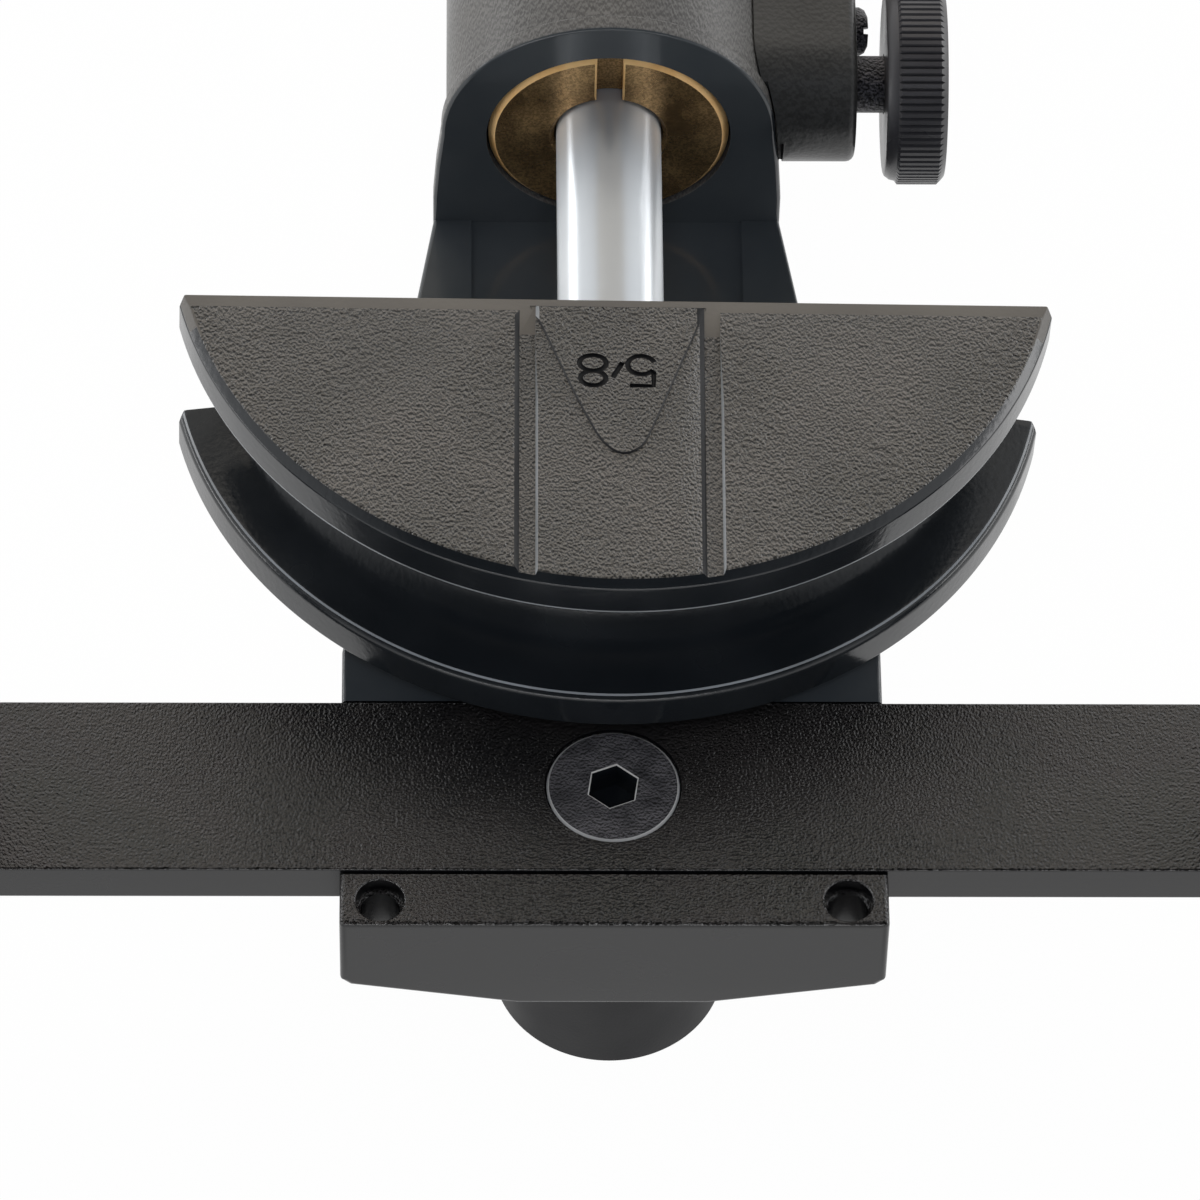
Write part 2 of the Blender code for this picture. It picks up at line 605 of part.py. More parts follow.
def former(material):
    """Half-moon former: a grooved disc cut off behind, with a socket for the ram's nose."""
    profile = [(0, -FORMER_HALF)]
    profile += groove_profile()
    profile += [(0, FORMER_HALF)]
    centre = Vector((0, FORMER_CENTRE_Y, AXIS_Z))
    mesh = turned(profile, centre, Z_AXIS, FORMER_STEPS)
    reach = math.sqrt(FLANGE_RADIUS ** 2 - FORMER_REAR_SETBACK ** 2)
    corner = FORMER_CORNER
    slices = [(Vector((0, FORMER_REAR, 0)), Y_AXIS)]
    for sign in (-1, 1):
        corner_point = Vector((sign * (reach - corner), FORMER_REAR, 0))
        slices.append((corner_point, Vector((sign * 2, 1, 0)).normalized()))
        edge = Vector((0, FORMER_REAR - FORMER_BAND_WIDTH, AXIS_Z + sign * FORMER_HALF))
        slices.append((edge, Vector((0, FORMER_BAND_DROP, sign * FORMER_BAND_WIDTH)).normalized()))
    for point, normal in slices:
        shape = mesh.verts[:] + mesh.edges[:] + mesh.faces[:]
        bmesh.ops.bisect_plane(mesh, geom=shape, plane_co=point, plane_no=normal, clear_outer=True)
        open_edges = [edge for edge in mesh.edges if edge.is_boundary]
        bmesh.ops.holes_fill(mesh, edges=open_edges, sides=0)
    bmesh.ops.recalc_face_normals(mesh, faces=mesh.faces[:])
    pivot = Vector((0, NOSE_END, AXIS_Z))
    piece = part("former", mesh, material, pivot)
    top = AXIS_Z + FORMER_HALF
    rear = FORMER_REAR - FORMER_BAND_WIDTH
    count = ARC_STEPS
    outline = []
    for index in range(-count, count + 1):
        share = index / count
        depth = PAD_LENGTH * (1 - abs(share) ** 1.5)
        outline.append((PAD_HALF_WIDTH * share, rear - depth))
    pad = prism(outline, "Z", top - CUT, top + PAD_HEIGHT)
    tools = [add(piece, pad)]
    bore = RAM_RADIUS + GAP
    start = Vector((0, FORMER_REAR - SOCKET_DEPTH, AXIS_Z))
    mouth = bore + NOSE_CHAMFER
    shape = [(0, 0), (bore, 0), (bore, SOCKET_DEPTH - NOSE_CHAMFER), (mouth, SOCKET_DEPTH)]
    shape += [(mouth, SOCKET_DEPTH + CUT), (0, SOCKET_DEPTH + CUT)]
    tools.append(cut(piece, turned(shape, start, Y_AXIS)))
    front = FORMER_CENTRE_Y - FLANGE_RADIUS
    for sign in (-1, 1):
        inner = sign * CHANNEL_X - CHANNEL_WIDTH / 2
        x_span = (inner, inner + CHANNEL_WIDTH)
        y_span = (front + CHANNEL_END, rear)
        tools.append(cut(piece, box(x_span, y_span, (top - CHANNEL_DEPTH, top + PAD_HEIGHT + CUT))))
    piece.rotation_euler = (0, FORMER_ROLL, FORMER_TWIST)
    lean = Matrix.Rotation(FORMER_TWIST, 4, "Z") @ Matrix.Rotation(FORMER_ROLL, 4, "Y")
    turn = Matrix.Translation(pivot) @ lean @ Matrix.Translation(-pivot)
    for tool in tools:
        tool.matrix_world = turn
    return piece


def ram_rod(material):
    """Chromed rod: nose in the former, and a tail that carries the piston."""
    tail = TAIL_DIAMETER / 2
    ring = NOSE_RING_SECTION
    groove = RAM_RADIUS - ring
    step = PISTON_FRONT - NOSE_END
    end = PISTON_NUT_END - NOSE_END
    groove_start = NOSE_RING_SETBACK - ring / 2 - GAP
    groove_end = NOSE_RING_SETBACK + ring / 2 + GAP
    profile = [(0, 0), (RAM_RADIUS - NOSE_CHAMFER, 0), (RAM_RADIUS, NOSE_CHAMFER)]
    profile += [(RAM_RADIUS, groove_start), (groove, groove_start)]
    profile += [(groove, groove_end), (RAM_RADIUS, groove_end)]
    profile += [(RAM_RADIUS, step - GAP), (tail, step - GAP), (tail, end), (0, end)]
    start = Vector((0, NOSE_END, AXIS_Z))
    return part("ram_rod", turned(profile, start, Y_AXIS), material, start)


def ram_details(steel, rubber):
    start = Vector((0, NOSE_END, AXIS_Z))
    ring_radius = RAM_RADIUS - NOSE_RING_SECTION / 2
    place = Vector((0, NOSE_END + NOSE_RING_SETBACK, AXIS_Z))
    part("nose_ring", torus(ring_radius, NOSE_RING_SECTION - GAP, place, Y_AXIS, SMALL_ROUND), rubber, start)
    tail = TAIL_DIAMETER / 2 + GAP
    seal = PISTON_SEAL_SECTION
    middle = PISTON_LENGTH / 2
    deep = PISTON_RADIUS - seal
    profile = [(tail, 0), (PISTON_RADIUS, 0), (PISTON_RADIUS, middle - seal / 2), (deep, middle - seal / 2)]
    profile += [(deep, middle + seal / 2), (PISTON_RADIUS, middle + seal / 2)]
    profile += [(PISTON_RADIUS, PISTON_LENGTH), (tail, PISTON_LENGTH)]
    front = Vector((0, PISTON_FRONT, AXIS_Z))
    part("piston", turned(profile, front, Y_AXIS, ring=True), steel, start)
    seal_front = Vector((0, PISTON_FRONT + middle - seal / 2 + GAP, AXIS_Z))
    seal_ring = ring_solid(PISTON_RADIUS, deep + GAP, seal_front, Y_AXIS, seal - 2 * GAP)
    part("piston_seal", seal_ring, rubber, start)
    nut_front = PISTON_REAR + GAP
    nut = hexagon(PISTON_NUT_ACROSS, (0, AXIS_Z), "Y", nut_front, nut_front + PISTON_NUT_LENGTH - GAP)
    nut_piece = part("piston_nut", nut, steel, start)
    bore_start = Vector((0, nut_front - CUT, AXIS_Z))
    cut(nut_piece, rod(tail, bore_start, Y_AXIS, PISTON_NUT_LENGTH + 2 * CUT, SMALL_ROUND))
    spring_start = Vector((0, CHAMBER_FRONT + GAP, AXIS_Z))
    spring_length = PISTON_FRONT - CHAMBER_FRONT - 2 * GAP
    coil("return_spring", steel, SPRING_RADIUS, SPRING_WIRE, SPRING_TURNS, spring_start, Y_AXIS,
         spring_length, start)


def gland(bronze, rubber):
    """Bronze bush in the head's face, with a spanner slot, and the rod seal behind it."""
    bore = RAM_RADIUS + GAP
    seat = bore + ROD_SEAL_WALL + GAP
    chamfer = BUSH_CHAMFER
    step = BUSH_LENGTH - ROD_SEAL_LENGTH - GAP
    profile = [(bore + chamfer, 0), (BUSH_RADIUS - chamfer, 0), (BUSH_RADIUS, chamfer)]
    profile += [(BUSH_RADIUS, BUSH_LENGTH)]
    profile += [(seat, BUSH_LENGTH), (seat, step), (bore, step), (bore, chamfer)]
    face = Vector((0, HEAD_FACE, AXIS_Z))
    bush = part("gland_bush", turned(profile, face, Y_AXIS, ring=True), bronze)
    half = BUSH_SLOT_WIDTH / 2
    low = AXIS_Z + RAM_RADIUS / 2
    high = AXIS_Z + BUSH_RADIUS + CUT
    cut(bush, box((-half, half), (HEAD_FACE - CUT, HEAD_FACE + BUSH_SLOT_DEPTH), (low, high)))
    seal_front = Vector((0, HEAD_FACE + step + GAP, AXIS_Z))
    seal = ring_solid(bore + ROD_SEAL_WALL, bore, seal_front, Y_AXIS, ROD_SEAL_LENGTH - GAP)
    part("rod_seal", seal, rubber)


def cylinder_barrel(material):
    """Pressure tube: a spigot and front wall inside the head, and an open rear end."""
    front = Vector((0, SPIGOT_FRONT, AXIS_Z))
    hole = RAM_RADIUS + LOOSE
    shoulder = BARREL_FRONT - SPIGOT_FRONT
    length = BARREL_END - SPIGOT_FRONT
    chamfer = HEAD_BEVEL
    profile = [(hole, 0), (SPIGOT_RADIUS, 0), (SPIGOT_RADIUS, shoulder), (BARREL_RADIUS - chamfer, shoulder)]
    profile += [(BARREL_RADIUS, shoulder + chamfer), (BARREL_RADIUS, length), (BORE_RADIUS, length)]
    profile += [(BORE_RADIUS, FRONT_WALL), (hole, FRONT_WALL)]
    return part("cylinder_barrel", turned(profile, front, Y_AXIS, ring=True), material)


def pump_body(material):
    """Casting behind the barrel. It closes the barrel, holds the plunger and check valves, and has a foot."""
    base = PAD_THICKNESS + GAP
    foot = base + PUMP_FOOT_HEIGHT
    waist = PUMP_WAIST_HALF
    outline = [(PUMP_FOOT_HALF, base), (PUMP_FOOT_HALF, foot), (waist, foot + PUMP_FOOT_HEIGHT)]
    outline += [(waist, AXIS_Z - PUMP_RADIUS / 2)]
    outline += arc((0, AXIS_Z), PUMP_RADIUS, 0, 180, 24)
    outline += [(-waist, AXIS_Z - PUMP_RADIUS / 2), (-waist, foot + PUMP_FOOT_HEIGHT)]
    outline += [(-PUMP_FOOT_HALF, foot), (-PUMP_FOOT_HALF, base)]
    body = part("pump_body", prism(outline, "Y", PUMP_FRONT, PUMP_END), material)
    round_edges(body, PUMP_BEVEL, 1, 50)
    deck_half = PUMP_DECK_HALF
    deck_rear = PLUNGER_Y + GLAND_RADIUS
    deck_front = PIVOT_Y - LEVER_HALF_DEPTH
    add(body, box((-deck_half, deck_half), (deck_front, deck_rear), (AXIS_Z + PUMP_RADIUS / 2, DECK_TOP)))
    ear_inner = LEVER_HALF_THICKNESS + GAP
    ear_low = AXIS_Z + PUMP_RADIUS / 2
    for sign in (-1, 1):
        ear = [(PIVOT_Y - LEVER_HALF_DEPTH, ear_low), (PIVOT_Y + LEVER_HALF_DEPTH, ear_low)]
        ear += arc((PIVOT_Y, PIVOT_Z), LEVER_HALF_DEPTH, 0, 180, 12)
        span = sorted((sign * ear_inner, sign * (ear_inner + EAR_THICKNESS)))
        add(body, prism(ear, "X", *span))
    axis = Vector((0, 0, AXIS_Z))
    spigot = BORE_RADIUS - GAP
    front = axis + Y_AXIS * (PUMP_FRONT - END_SPIGOT)
    add(body, rod(spigot, front, Y_AXIS, END_SPIGOT + CUT))
    rear_spigot = RESERVOIR_RADIUS - RESERVOIR_WALL - GAP
    add(body, rod(rear_spigot, axis + Y_AXIS * (PUMP_END - CUT), Y_AXIS, RESERVOIR_SPIGOT + CUT))
    plunger_bore = PLUNGER_RADIUS + GAP
    thread = GLAND_RADIUS - GLAND_HEIGHT / 2 + GAP
    floor = Vector((0, PLUNGER_Y, PLUNGER_BORE_FLOOR))
    depth = DECK_TOP - PLUNGER_BORE_FLOOR
    shape = [(0, 0), (plunger_bore, 0), (plunger_bore, depth - GLAND_THREAD - GAP)]
    shape += [(thread, depth - GLAND_THREAD - GAP), (thread, depth + CUT), (0, depth + CUT)]
    cut(body, turned(shape, floor, Z_AXIS, SMALL_ROUND))
    pin_start = Vector((-ear_inner - EAR_THICKNESS - CUT, PIVOT_Y, PIVOT_Z))
    pin_run = 2 * (ear_inner + EAR_THICKNESS + CUT)
    cut(body, rod(PIVOT_DIAMETER / 2 + GAP, pin_start, X_AXIS, pin_run, SMALL_ROUND))
    check_bore = CHECK_BORE_DIAMETER / 2
    for sign in (-1, 1):
        start = Vector((sign * (waist + CUT), PLUNGER_Y, CHECK_LEVEL))
        cut(body, rod(check_bore, start, -sign * X_AXIS, CHECK_BORE_DEPTH + CUT, SMALL_ROUND))
    for place in cover_screw_places():
        screw = COVER_SCREW_DIAMETER / 2 + GAP
        cut(body, rod(screw, place + Y_AXIS * CUT, -Y_AXIS, COVER_SCREW_HEAD + CUT, SMALL_ROUND))
    return body


def cover_screw_places():
    """Four screws in the pump body's rear face, outside the reservoir."""
    side = PUMP_WAIST_HALF - COVER_SCREW_HEAD
    low = PAD_THICKNESS + PUMP_FOOT_HEIGHT + COVER_SCREW_HEAD
    high = AXIS_Z - RESERVOIR_RADIUS - COVER_SCREW_HEAD
    places = []
    for sign in (-1, 1):
        for level in (low, high):
            places.append(Vector((sign * side, PUMP_END, level)))
    return places


def pump_details(steel, rubber, brass):
    """Foot pad, cover screws, plunger seal and gland, and both check valves."""
    half = PUMP_FOOT_HALF - PUMP_BEVEL
    inset = PUMP_BEVEL
    pad = box((-half, half), (PUMP_FRONT + inset, PUMP_END - inset), (0, PAD_THICKNESS))
    part("foot_pad", pad, rubber)
    for number, place in enumerate(cover_screw_places(), 1):
        head = COVER_SCREW_HEAD / 2
        thread = COVER_SCREW_DIAMETER / 2
        deep = COVER_SCREW_HEAD - GAP
        profile = [(0, -deep), (thread, -deep), (thread, GAP), (head, GAP), (head, COVER_SCREW_HEIGHT)]
        profile += [(0, COVER_SCREW_HEIGHT)]
        part("cover_screw_" + str(number), turned(profile, place, Y_AXIS, 16), steel)
    bore = PLUNGER_RADIUS + GAP
    thread = GLAND_RADIUS - GLAND_HEIGHT / 2
    deck = Vector((0, PLUNGER_Y, DECK_TOP))
    low = -GLAND_THREAD / 2
    profile = [(bore, low), (thread, low), (thread, GAP), (GLAND_RADIUS, GAP), (GLAND_RADIUS, GLAND_HEIGHT)]
    profile += [(bore, GLAND_HEIGHT)]
    part("plunger_gland", turned(profile, deck, Z_AXIS, SMALL_ROUND, ring=True), steel)
    seal_low = deck - Z_AXIS * GLAND_THREAD
    seal = ring_solid(thread, bore, seal_low, Z_AXIS, GLAND_THREAD / 2 - GAP, SMALL_ROUND)
    part("plunger_seal", seal, rubber)
    for label, sign in (("suction", -1), ("delivery", 1)):
        seat = Vector((sign * (PUMP_WAIST_HALF - CHECK_BORE_DEPTH), PLUNGER_Y, CHECK_LEVEL))
        out = sign * X_AXIS
        radius = CHECK_BALL_DIAMETER / 2
        part(label + "_ball", ball(radius, seat + out * (radius + GAP), 16), steel)
        plug_inner = CHECK_BORE_DEPTH - CHECK_PLUG_THREAD
        spring_start = seat + out * (CHECK_BALL_DIAMETER + 2 * GAP)
        spring_length = plug_inner - CHECK_BALL_DIAMETER - 3 * GAP
        coil(label + "_spring", steel, radius - CHECK_SPRING_WIRE / 2, CHECK_SPRING_WIRE, CHECK_SPRING_TURNS,
             spring_start, out, spring_length)
        wall = CHECK_BORE_DIAMETER / 2 - GAP
        face = CHECK_BORE_DEPTH + GAP
        across = CHECK_PLUG_ACROSS / 2
        profile = [(0, plug_inner), (wall, plug_inner), (wall, face), (across, face)]
        profile += [(across, face + CHECK_PLUG_HEAD), (0, face + CHECK_PLUG_HEAD)]
        part(label + "_plug", turned(profile, seat, out, SMALL_ROUND), brass)


def pump_plunger(material):
    """Plunger with a flat eye on top. It slides along its own axis, which holds its origin."""
    place = Vector((0, PLUNGER_Y, PIVOT_Z))
    bottom = PLUNGER_BORE_FLOOR + CUT
    start = Vector((0, PLUNGER_Y, bottom))
    shoulder = DECK_TOP + GLAND_HEIGHT + GAP
    stem = rod(PLUNGER_RADIUS, start, Z_AXIS, shoulder + LOOSE - bottom, SMALL_ROUND)
    plunger = part("pump_plunger", stem, material, place)
    eye = [(PLUNGER_Y - EYE_RADIUS, shoulder), (PLUNGER_Y + EYE_RADIUS, shoulder)]
    eye += arc((PLUNGER_Y, PIVOT_Z), EYE_RADIUS, 0, 180, 12)
    add(plunger, prism(eye, "X", -EYE_HALF_THICKNESS, EYE_HALF_THICKNESS))
    hole_start = Vector((-EYE_HALF_THICKNESS - CUT, PLUNGER_Y, PIVOT_Z))
    hole_run = 2 * (EYE_HALF_THICKNESS + CUT)
    cut(plunger, rod(LINK_DIAMETER / 2 + GAP, hole_start, X_AXIS, hole_run, SMALL_ROUND))
    return plunger


def link_pin(material):
    half = LEVER_HALF_THICKNESS - GAP
    start = Vector((-half, PLUNGER_Y, PIVOT_Z))
    place = Vector((0, PLUNGER_Y, PIVOT_Z))
    return part("link_pin", rod(LINK_DIAMETER / 2, start, X_AXIS, 2 * half, SMALL_ROUND), material, place)


def pivot_pin(material):
    """Pivot pin through both ears, with a flat head at each end."""
    half = LEVER_HALF_THICKNESS + GAP + EAR_THICKNESS
    radius = PIVOT_DIAMETER / 2
    head = PIVOT_HEAD_RADIUS
    end = half + GAP + PIVOT_HEAD_LENGTH
    profile = [(0, -end), (head, -end), (head, -half - GAP), (radius, -half - GAP)]
    profile += [(radius, half + GAP), (head, half + GAP), (head, end), (0, end)]
    return part("pivot_pin", turned(profile, PIVOT, X_AXIS, SMALL_ROUND), material)


def pump_lever(material, tube_material, grip_material):
    """Lever head between the ears, with a slot for the link pin, and a tube with a grip."""
    depth = LEVER_HALF_DEPTH
    side = arc((PIVOT_Y, PIVOT_Z), depth, 90, 270, 12)
    rear = PIVOT + LEVER_LINE * SOCKET_START
    across = Vector((0, -LEVER_LINE.z, LEVER_LINE.y))
    knee = PLUNGER_Y + EYE_SLOT_HALF
    side.append((knee, PIVOT_Z - depth))
    low = rear - across * depth + LEVER_LINE * depth
    high = rear + across * depth + LEVER_LINE * depth
    side += [(low.y, low.z), (high.y, high.z)]
    side.append((PLUNGER_Y, PIVOT_Z + depth))
    half = LEVER_HALF_THICKNESS
    lever = part("pump_lever", prism(side, "X", -half, half), material, PIVOT)
    socket_start = PIVOT + LEVER_LINE * SOCKET_START
    add(lever, rod(SOCKET_RADIUS, socket_start, LEVER_LINE, SOCKET_LENGTH, ROUND, BAR_BEVEL))
    slot = EYE_HALF_THICKNESS + LOOSE
    y_span = (PLUNGER_Y - EYE_SLOT_HALF, PLUNGER_Y + EYE_SLOT_HALF)
    z_span = (PIVOT_Z - 2 * depth, PIVOT_Z + 3 * depth)
    cut(lever, box((-slot, slot), y_span, z_span))
    width = LINK_DIAMETER / 2 + LINK_SLOT_CLEAR
    pocket = PLUNGER_RADIUS + LOOSE
    cut(lever, box((-pocket, pocket), y_span, (z_span[0], PIVOT_Z - width - POCKET_ROOF)))
    oval = arc((PLUNGER_Y + LINK_SLOT_RUN, PIVOT_Z), width, -90, 90)
    oval += arc((PLUNGER_Y - LINK_SLOT_CLEAR, PIVOT_Z), width, 90, 270)
    cut(lever, prism(oval, "X", -half - CUT, half + CUT))
    pin_start = PIVOT - X_AXIS * (half + CUT)
    cut(lever, rod(PIVOT_DIAMETER / 2 + GAP, pin_start, X_AXIS, 2 * (half + CUT), SMALL_ROUND))
    bore_start = socket_start + LEVER_LINE * depth
    bore_run = SOCKET_LENGTH - depth + CUT
    cut(lever, rod(LEVER_TUBE_RADIUS + GAP, bore_start, LEVER_LINE, bore_run, ROUND))
    tube_start = bore_start + LEVER_LINE * GAP
    inner = LEVER_TUBE_RADIUS - LEVER_TUBE_WALL
    tube = ring_solid(LEVER_TUBE_RADIUS, inner, tube_start, LEVER_LINE, LEVER_TUBE_LENGTH)
    part("lever_tube", tube, tube_material, PIVOT)
    grip_end = LEVER_TUBE_LENGTH + LEVER_GRIP_END
    grip_start = grip_end - LEVER_GRIP_LENGTH
    profile = grip_line(LEVER_GRIP_RADIUS, grip_start, grip_end)
    profile += [(0, grip_end), (0, LEVER_TUBE_LENGTH + GAP)]
    profile += [(LEVER_TUBE_RADIUS + GAP, LEVER_TUBE_LENGTH + GAP)]
    profile += [(LEVER_TUBE_RADIUS + GAP, grip_start)]
    part("lever_grip", turned(profile, tube_start, LEVER_LINE, ROUND, ring=True), grip_material, PIVOT)


def grip_line(radius, start, end):
    """Outer line of a rubber grip with rounded ends, as (radius, length)."""
    edge = GRIP_EDGE
    return [(radius - edge, start), (radius, start + edge), (radius, end - edge), (radius - edge, end)]


def reservoir(metal, rubber, grip_material, cap_material, brass):
    """Oil tube with a rubber bladder inside, a rubber grip outside and a cap with a filler plug."""
    front = Vector((0, RESERVOIR_FRONT, AXIS_Z))
    inner = RESERVOIR_RADIUS - RESERVOIR_WALL
    part("reservoir_tube", ring_solid(RESERVOIR_RADIUS, inner, front, Y_AXIS, RESERVOIR_LENGTH), metal)
    start = RESERVOIR_SPIGOT + GAP
    end = RESERVOIR_LENGTH - CAP_SPIGOT - BLADDER_ROOM
    round_end = BLADDER_RADIUS
    front_round = arc((start + round_end, 0), round_end, 180, 90)
    rear_round = arc((end - round_end, 0), round_end, 90, 0)
    profile = [(radius, length) for length, radius in front_round + rear_round]
    profile[0] = (0, start)
    profile[-1] = (0, end)
    part("oil_bladder", turned(profile, front, Y_AXIS, SMALL_ROUND), rubber)
    spigot = inner - GAP
    bore = FILLER_THREAD_RADIUS + GAP
    chamfer = HEAD_BEVEL
    cap_front = Vector((0, CAP_FRONT, AXIS_Z))
    profile = [(bore, -CAP_SPIGOT), (spigot, -CAP_SPIGOT), (spigot, 0), (RESERVOIR_RADIUS, 0)]
    profile += [(RESERVOIR_RADIUS, CAP_LENGTH - 2 * chamfer), (RESERVOIR_RADIUS - 2 * chamfer, CAP_LENGTH)]
    profile += [(bore, CAP_LENGTH)]
    part("reservoir_cap", turned(profile, cap_front, Y_AXIS, ring=True), cap_material)
    deep = CAP_LENGTH - FILLER_THREAD
    face = CAP_LENGTH + GAP
    thread = FILLER_THREAD_RADIUS
    profile = [(0, deep), (thread, deep), (thread, face), (FILLER_RADIUS, face)]
    profile += [(FILLER_RADIUS, face + FILLER_HEAD), (0, face + FILLER_HEAD)]
    plug = part("filler_plug", turned(profile, cap_front, Y_AXIS, SMALL_ROUND), brass)
    slot = FILLER_SLOT / 2
    top = CAP_END + GAP + FILLER_HEAD
    wide = FILLER_RADIUS + CUT
    cut(plug, box((-wide, wide), (top - slot, top + CUT), (AXIS_Z - slot, AXIS_Z + slot)))
    end = RESERVOIR_LENGTH - HANDLE_GRIP_SETBACK
    grip_start = end - HANDLE_GRIP_LENGTH
    profile = grip_line(HANDLE_GRIP_RADIUS, grip_start, end)
    profile += [(RESERVOIR_RADIUS + GAP, end), (RESERVOIR_RADIUS + GAP, grip_start)]
    part("handle_grip", turned(profile, front, Y_AXIS, ring=True), grip_material)


def valve_block(material):
    """Oil gallery along the barrel's right flank. Its round front end is the release valve's boss."""
    half = VALVE_HALF_HEIGHT
    side = arc((VALVE_Y, AXIS_Z), half, 90, 270, 20)
    end = PUMP_FRONT - 2 * GAP
    side += [(end, AXIS_Z - half), (end, AXIS_Z + half)]
    block = part("valve_block", prism(side, "X", VALVE_ROOT, VALVE_OUTER), material)
    round_edges(block, VALVE_BEVEL, 1, 50)
    seat_start = Vector((0, VALVE_Y - half - CUT, AXIS_Z))
    run = end - VALVE_Y + half + 2 * CUT
    cut(block, rod(BARREL_RADIUS + GAP, seat_start, Y_AXIS, run, 2 * ROUND))
    flange_run = HEAD_FACE + HEAD_FLANGE + GAP - VALVE_Y + half + CUT
    cut(block, rod(HEAD_RADIUS + GAP, seat_start, Y_AXIS, flange_run, 2 * ROUND))
    z_span = (AXIS_Z - 2 * half, AXIS_Z)
    cut(block, box((0, HEAD_FOOT_HALF), (VALVE_Y - half - CUT, HEAD_FACE + HEAD_FLANGE + GAP), z_span))
    cut(block, box((0, BARREL_RADIUS + GAP), (VALVE_Y - half, HEAD_END + 2 * GAP), z_span))
    bore_start = Vector((VALVE_OUTER - STEM_BORE_DEPTH, VALVE_Y, AXIS_Z))
    cut(block, rod(STEM_RADIUS + GAP, bore_start, X_AXIS, STEM_BORE_DEPTH + CUT, SMALL_ROUND))
    plug_start = Vector((VALVE_OUTER - PLUG_THREAD - GAP, VALVE_Y + PLUG_SETBACK, AXIS_Z))
    cut(block, rod(PLUG_THREAD_RADIUS + GAP, plug_start, X_AXIS, PLUG_THREAD + CUT, SMALL_ROUND))
    return block


def release_valve(steel, knob_material, rubber):
    """Ball on its seat, threaded stem with a seal ring, and the round knob on the stem's end."""
    seat = VALVE_OUTER - STEM_BORE_DEPTH
    centre = Vector((seat + RELEASE_BALL_RADIUS + GAP, VALVE_Y, AXIS_Z))
    part("release_ball", ball(RELEASE_BALL_RADIUS, centre, 16), steel)
    low = seat + 2 * RELEASE_BALL_RADIUS + 2 * GAP
    end = KNOB_START + KNOB_LENGTH - KNOB_RECESS_DEPTH - LOOSE
    ring = O_RING_SECTION
    groove = STEM_RADIUS - ring
    middle = (low + VALVE_OUTER) / 2
    profile = [(0, low), (STEM_RADIUS, low), (STEM_RADIUS, middle - ring / 2 - GAP)]
    profile += [(groove, middle - ring / 2 - GAP), (groove, middle + ring / 2 + GAP)]
    profile += [(STEM_RADIUS, middle + ring / 2 + GAP), (STEM_RADIUS, end), (0, end)]
    part("release_stem", turned(profile, VALVE_AXIS, X_AXIS, SMALL_ROUND), steel, VALVE_AXIS)
    seal = torus(STEM_RADIUS - ring / 2, ring - GAP, VALVE_AXIS + X_AXIS * middle, X_AXIS, SMALL_ROUND)
    part("stem_seal", seal, rubber, VALVE_AXIS)
    bore = STEM_RADIUS + GAP
    chamfer = KNOB_CHAMFER
    length = KNOB_LENGTH
    recess = KNOB_RECESS_RADIUS
    floor = length - KNOB_RECESS_DEPTH
    profile = [(bore, 0), (KNOB_RADIUS - chamfer, 0), (KNOB_RADIUS, chamfer)]
    profile += [(KNOB_RADIUS, length - chamfer)]
    profile += [(KNOB_RADIUS - chamfer, length), (recess, length), (recess, floor), (bore, floor)]
    start = VALVE_AXIS + X_AXIS * KNOB_START
    knob = turned(profile, start, X_AXIS, ROUND + ARC_STEPS, ring=True)
    part("release_knob", knob, knob_material, VALVE_AXIS)
    cap_start = VALVE_AXIS + X_AXIS * (KNOB_START + floor + GAP)
    cap = rod(KNOB_CAP_RADIUS, cap_start, X_AXIS, KNOB_CAP_HEIGHT, SMALL_ROUND)
    part("knob_cap", cap, steel, VALVE_AXIS)


def plug_screw(material):
    """Domed plug beside the release stem."""
    face = VALVE_OUTER + GAP
    deep = VALVE_OUTER - PLUG_THREAD
    dome = [(0, 0)]
    for index in range(ARC_STEPS // 2 + 1):
        angle = math.radians(90 * index / (ARC_STEPS // 2))
        dome.append((PLUG_RADIUS * math.cos(angle), face + PLUG_DOME / 2 + PLUG_DOME / 2 * math.sin(angle)))
    dome[-1] = (0, face + PLUG_DOME)
    profile = [(0, deep), (PLUG_THREAD_RADIUS, deep), (PLUG_THREAD_RADIUS, face), (PLUG_RADIUS, face)]
    profile += dome[1:]
    start = Vector((0, VALVE_Y + PLUG_SETBACK, AXIS_Z))
    return part("plug_screw", turned(profile, start, X_AXIS, SMALL_ROUND), material)


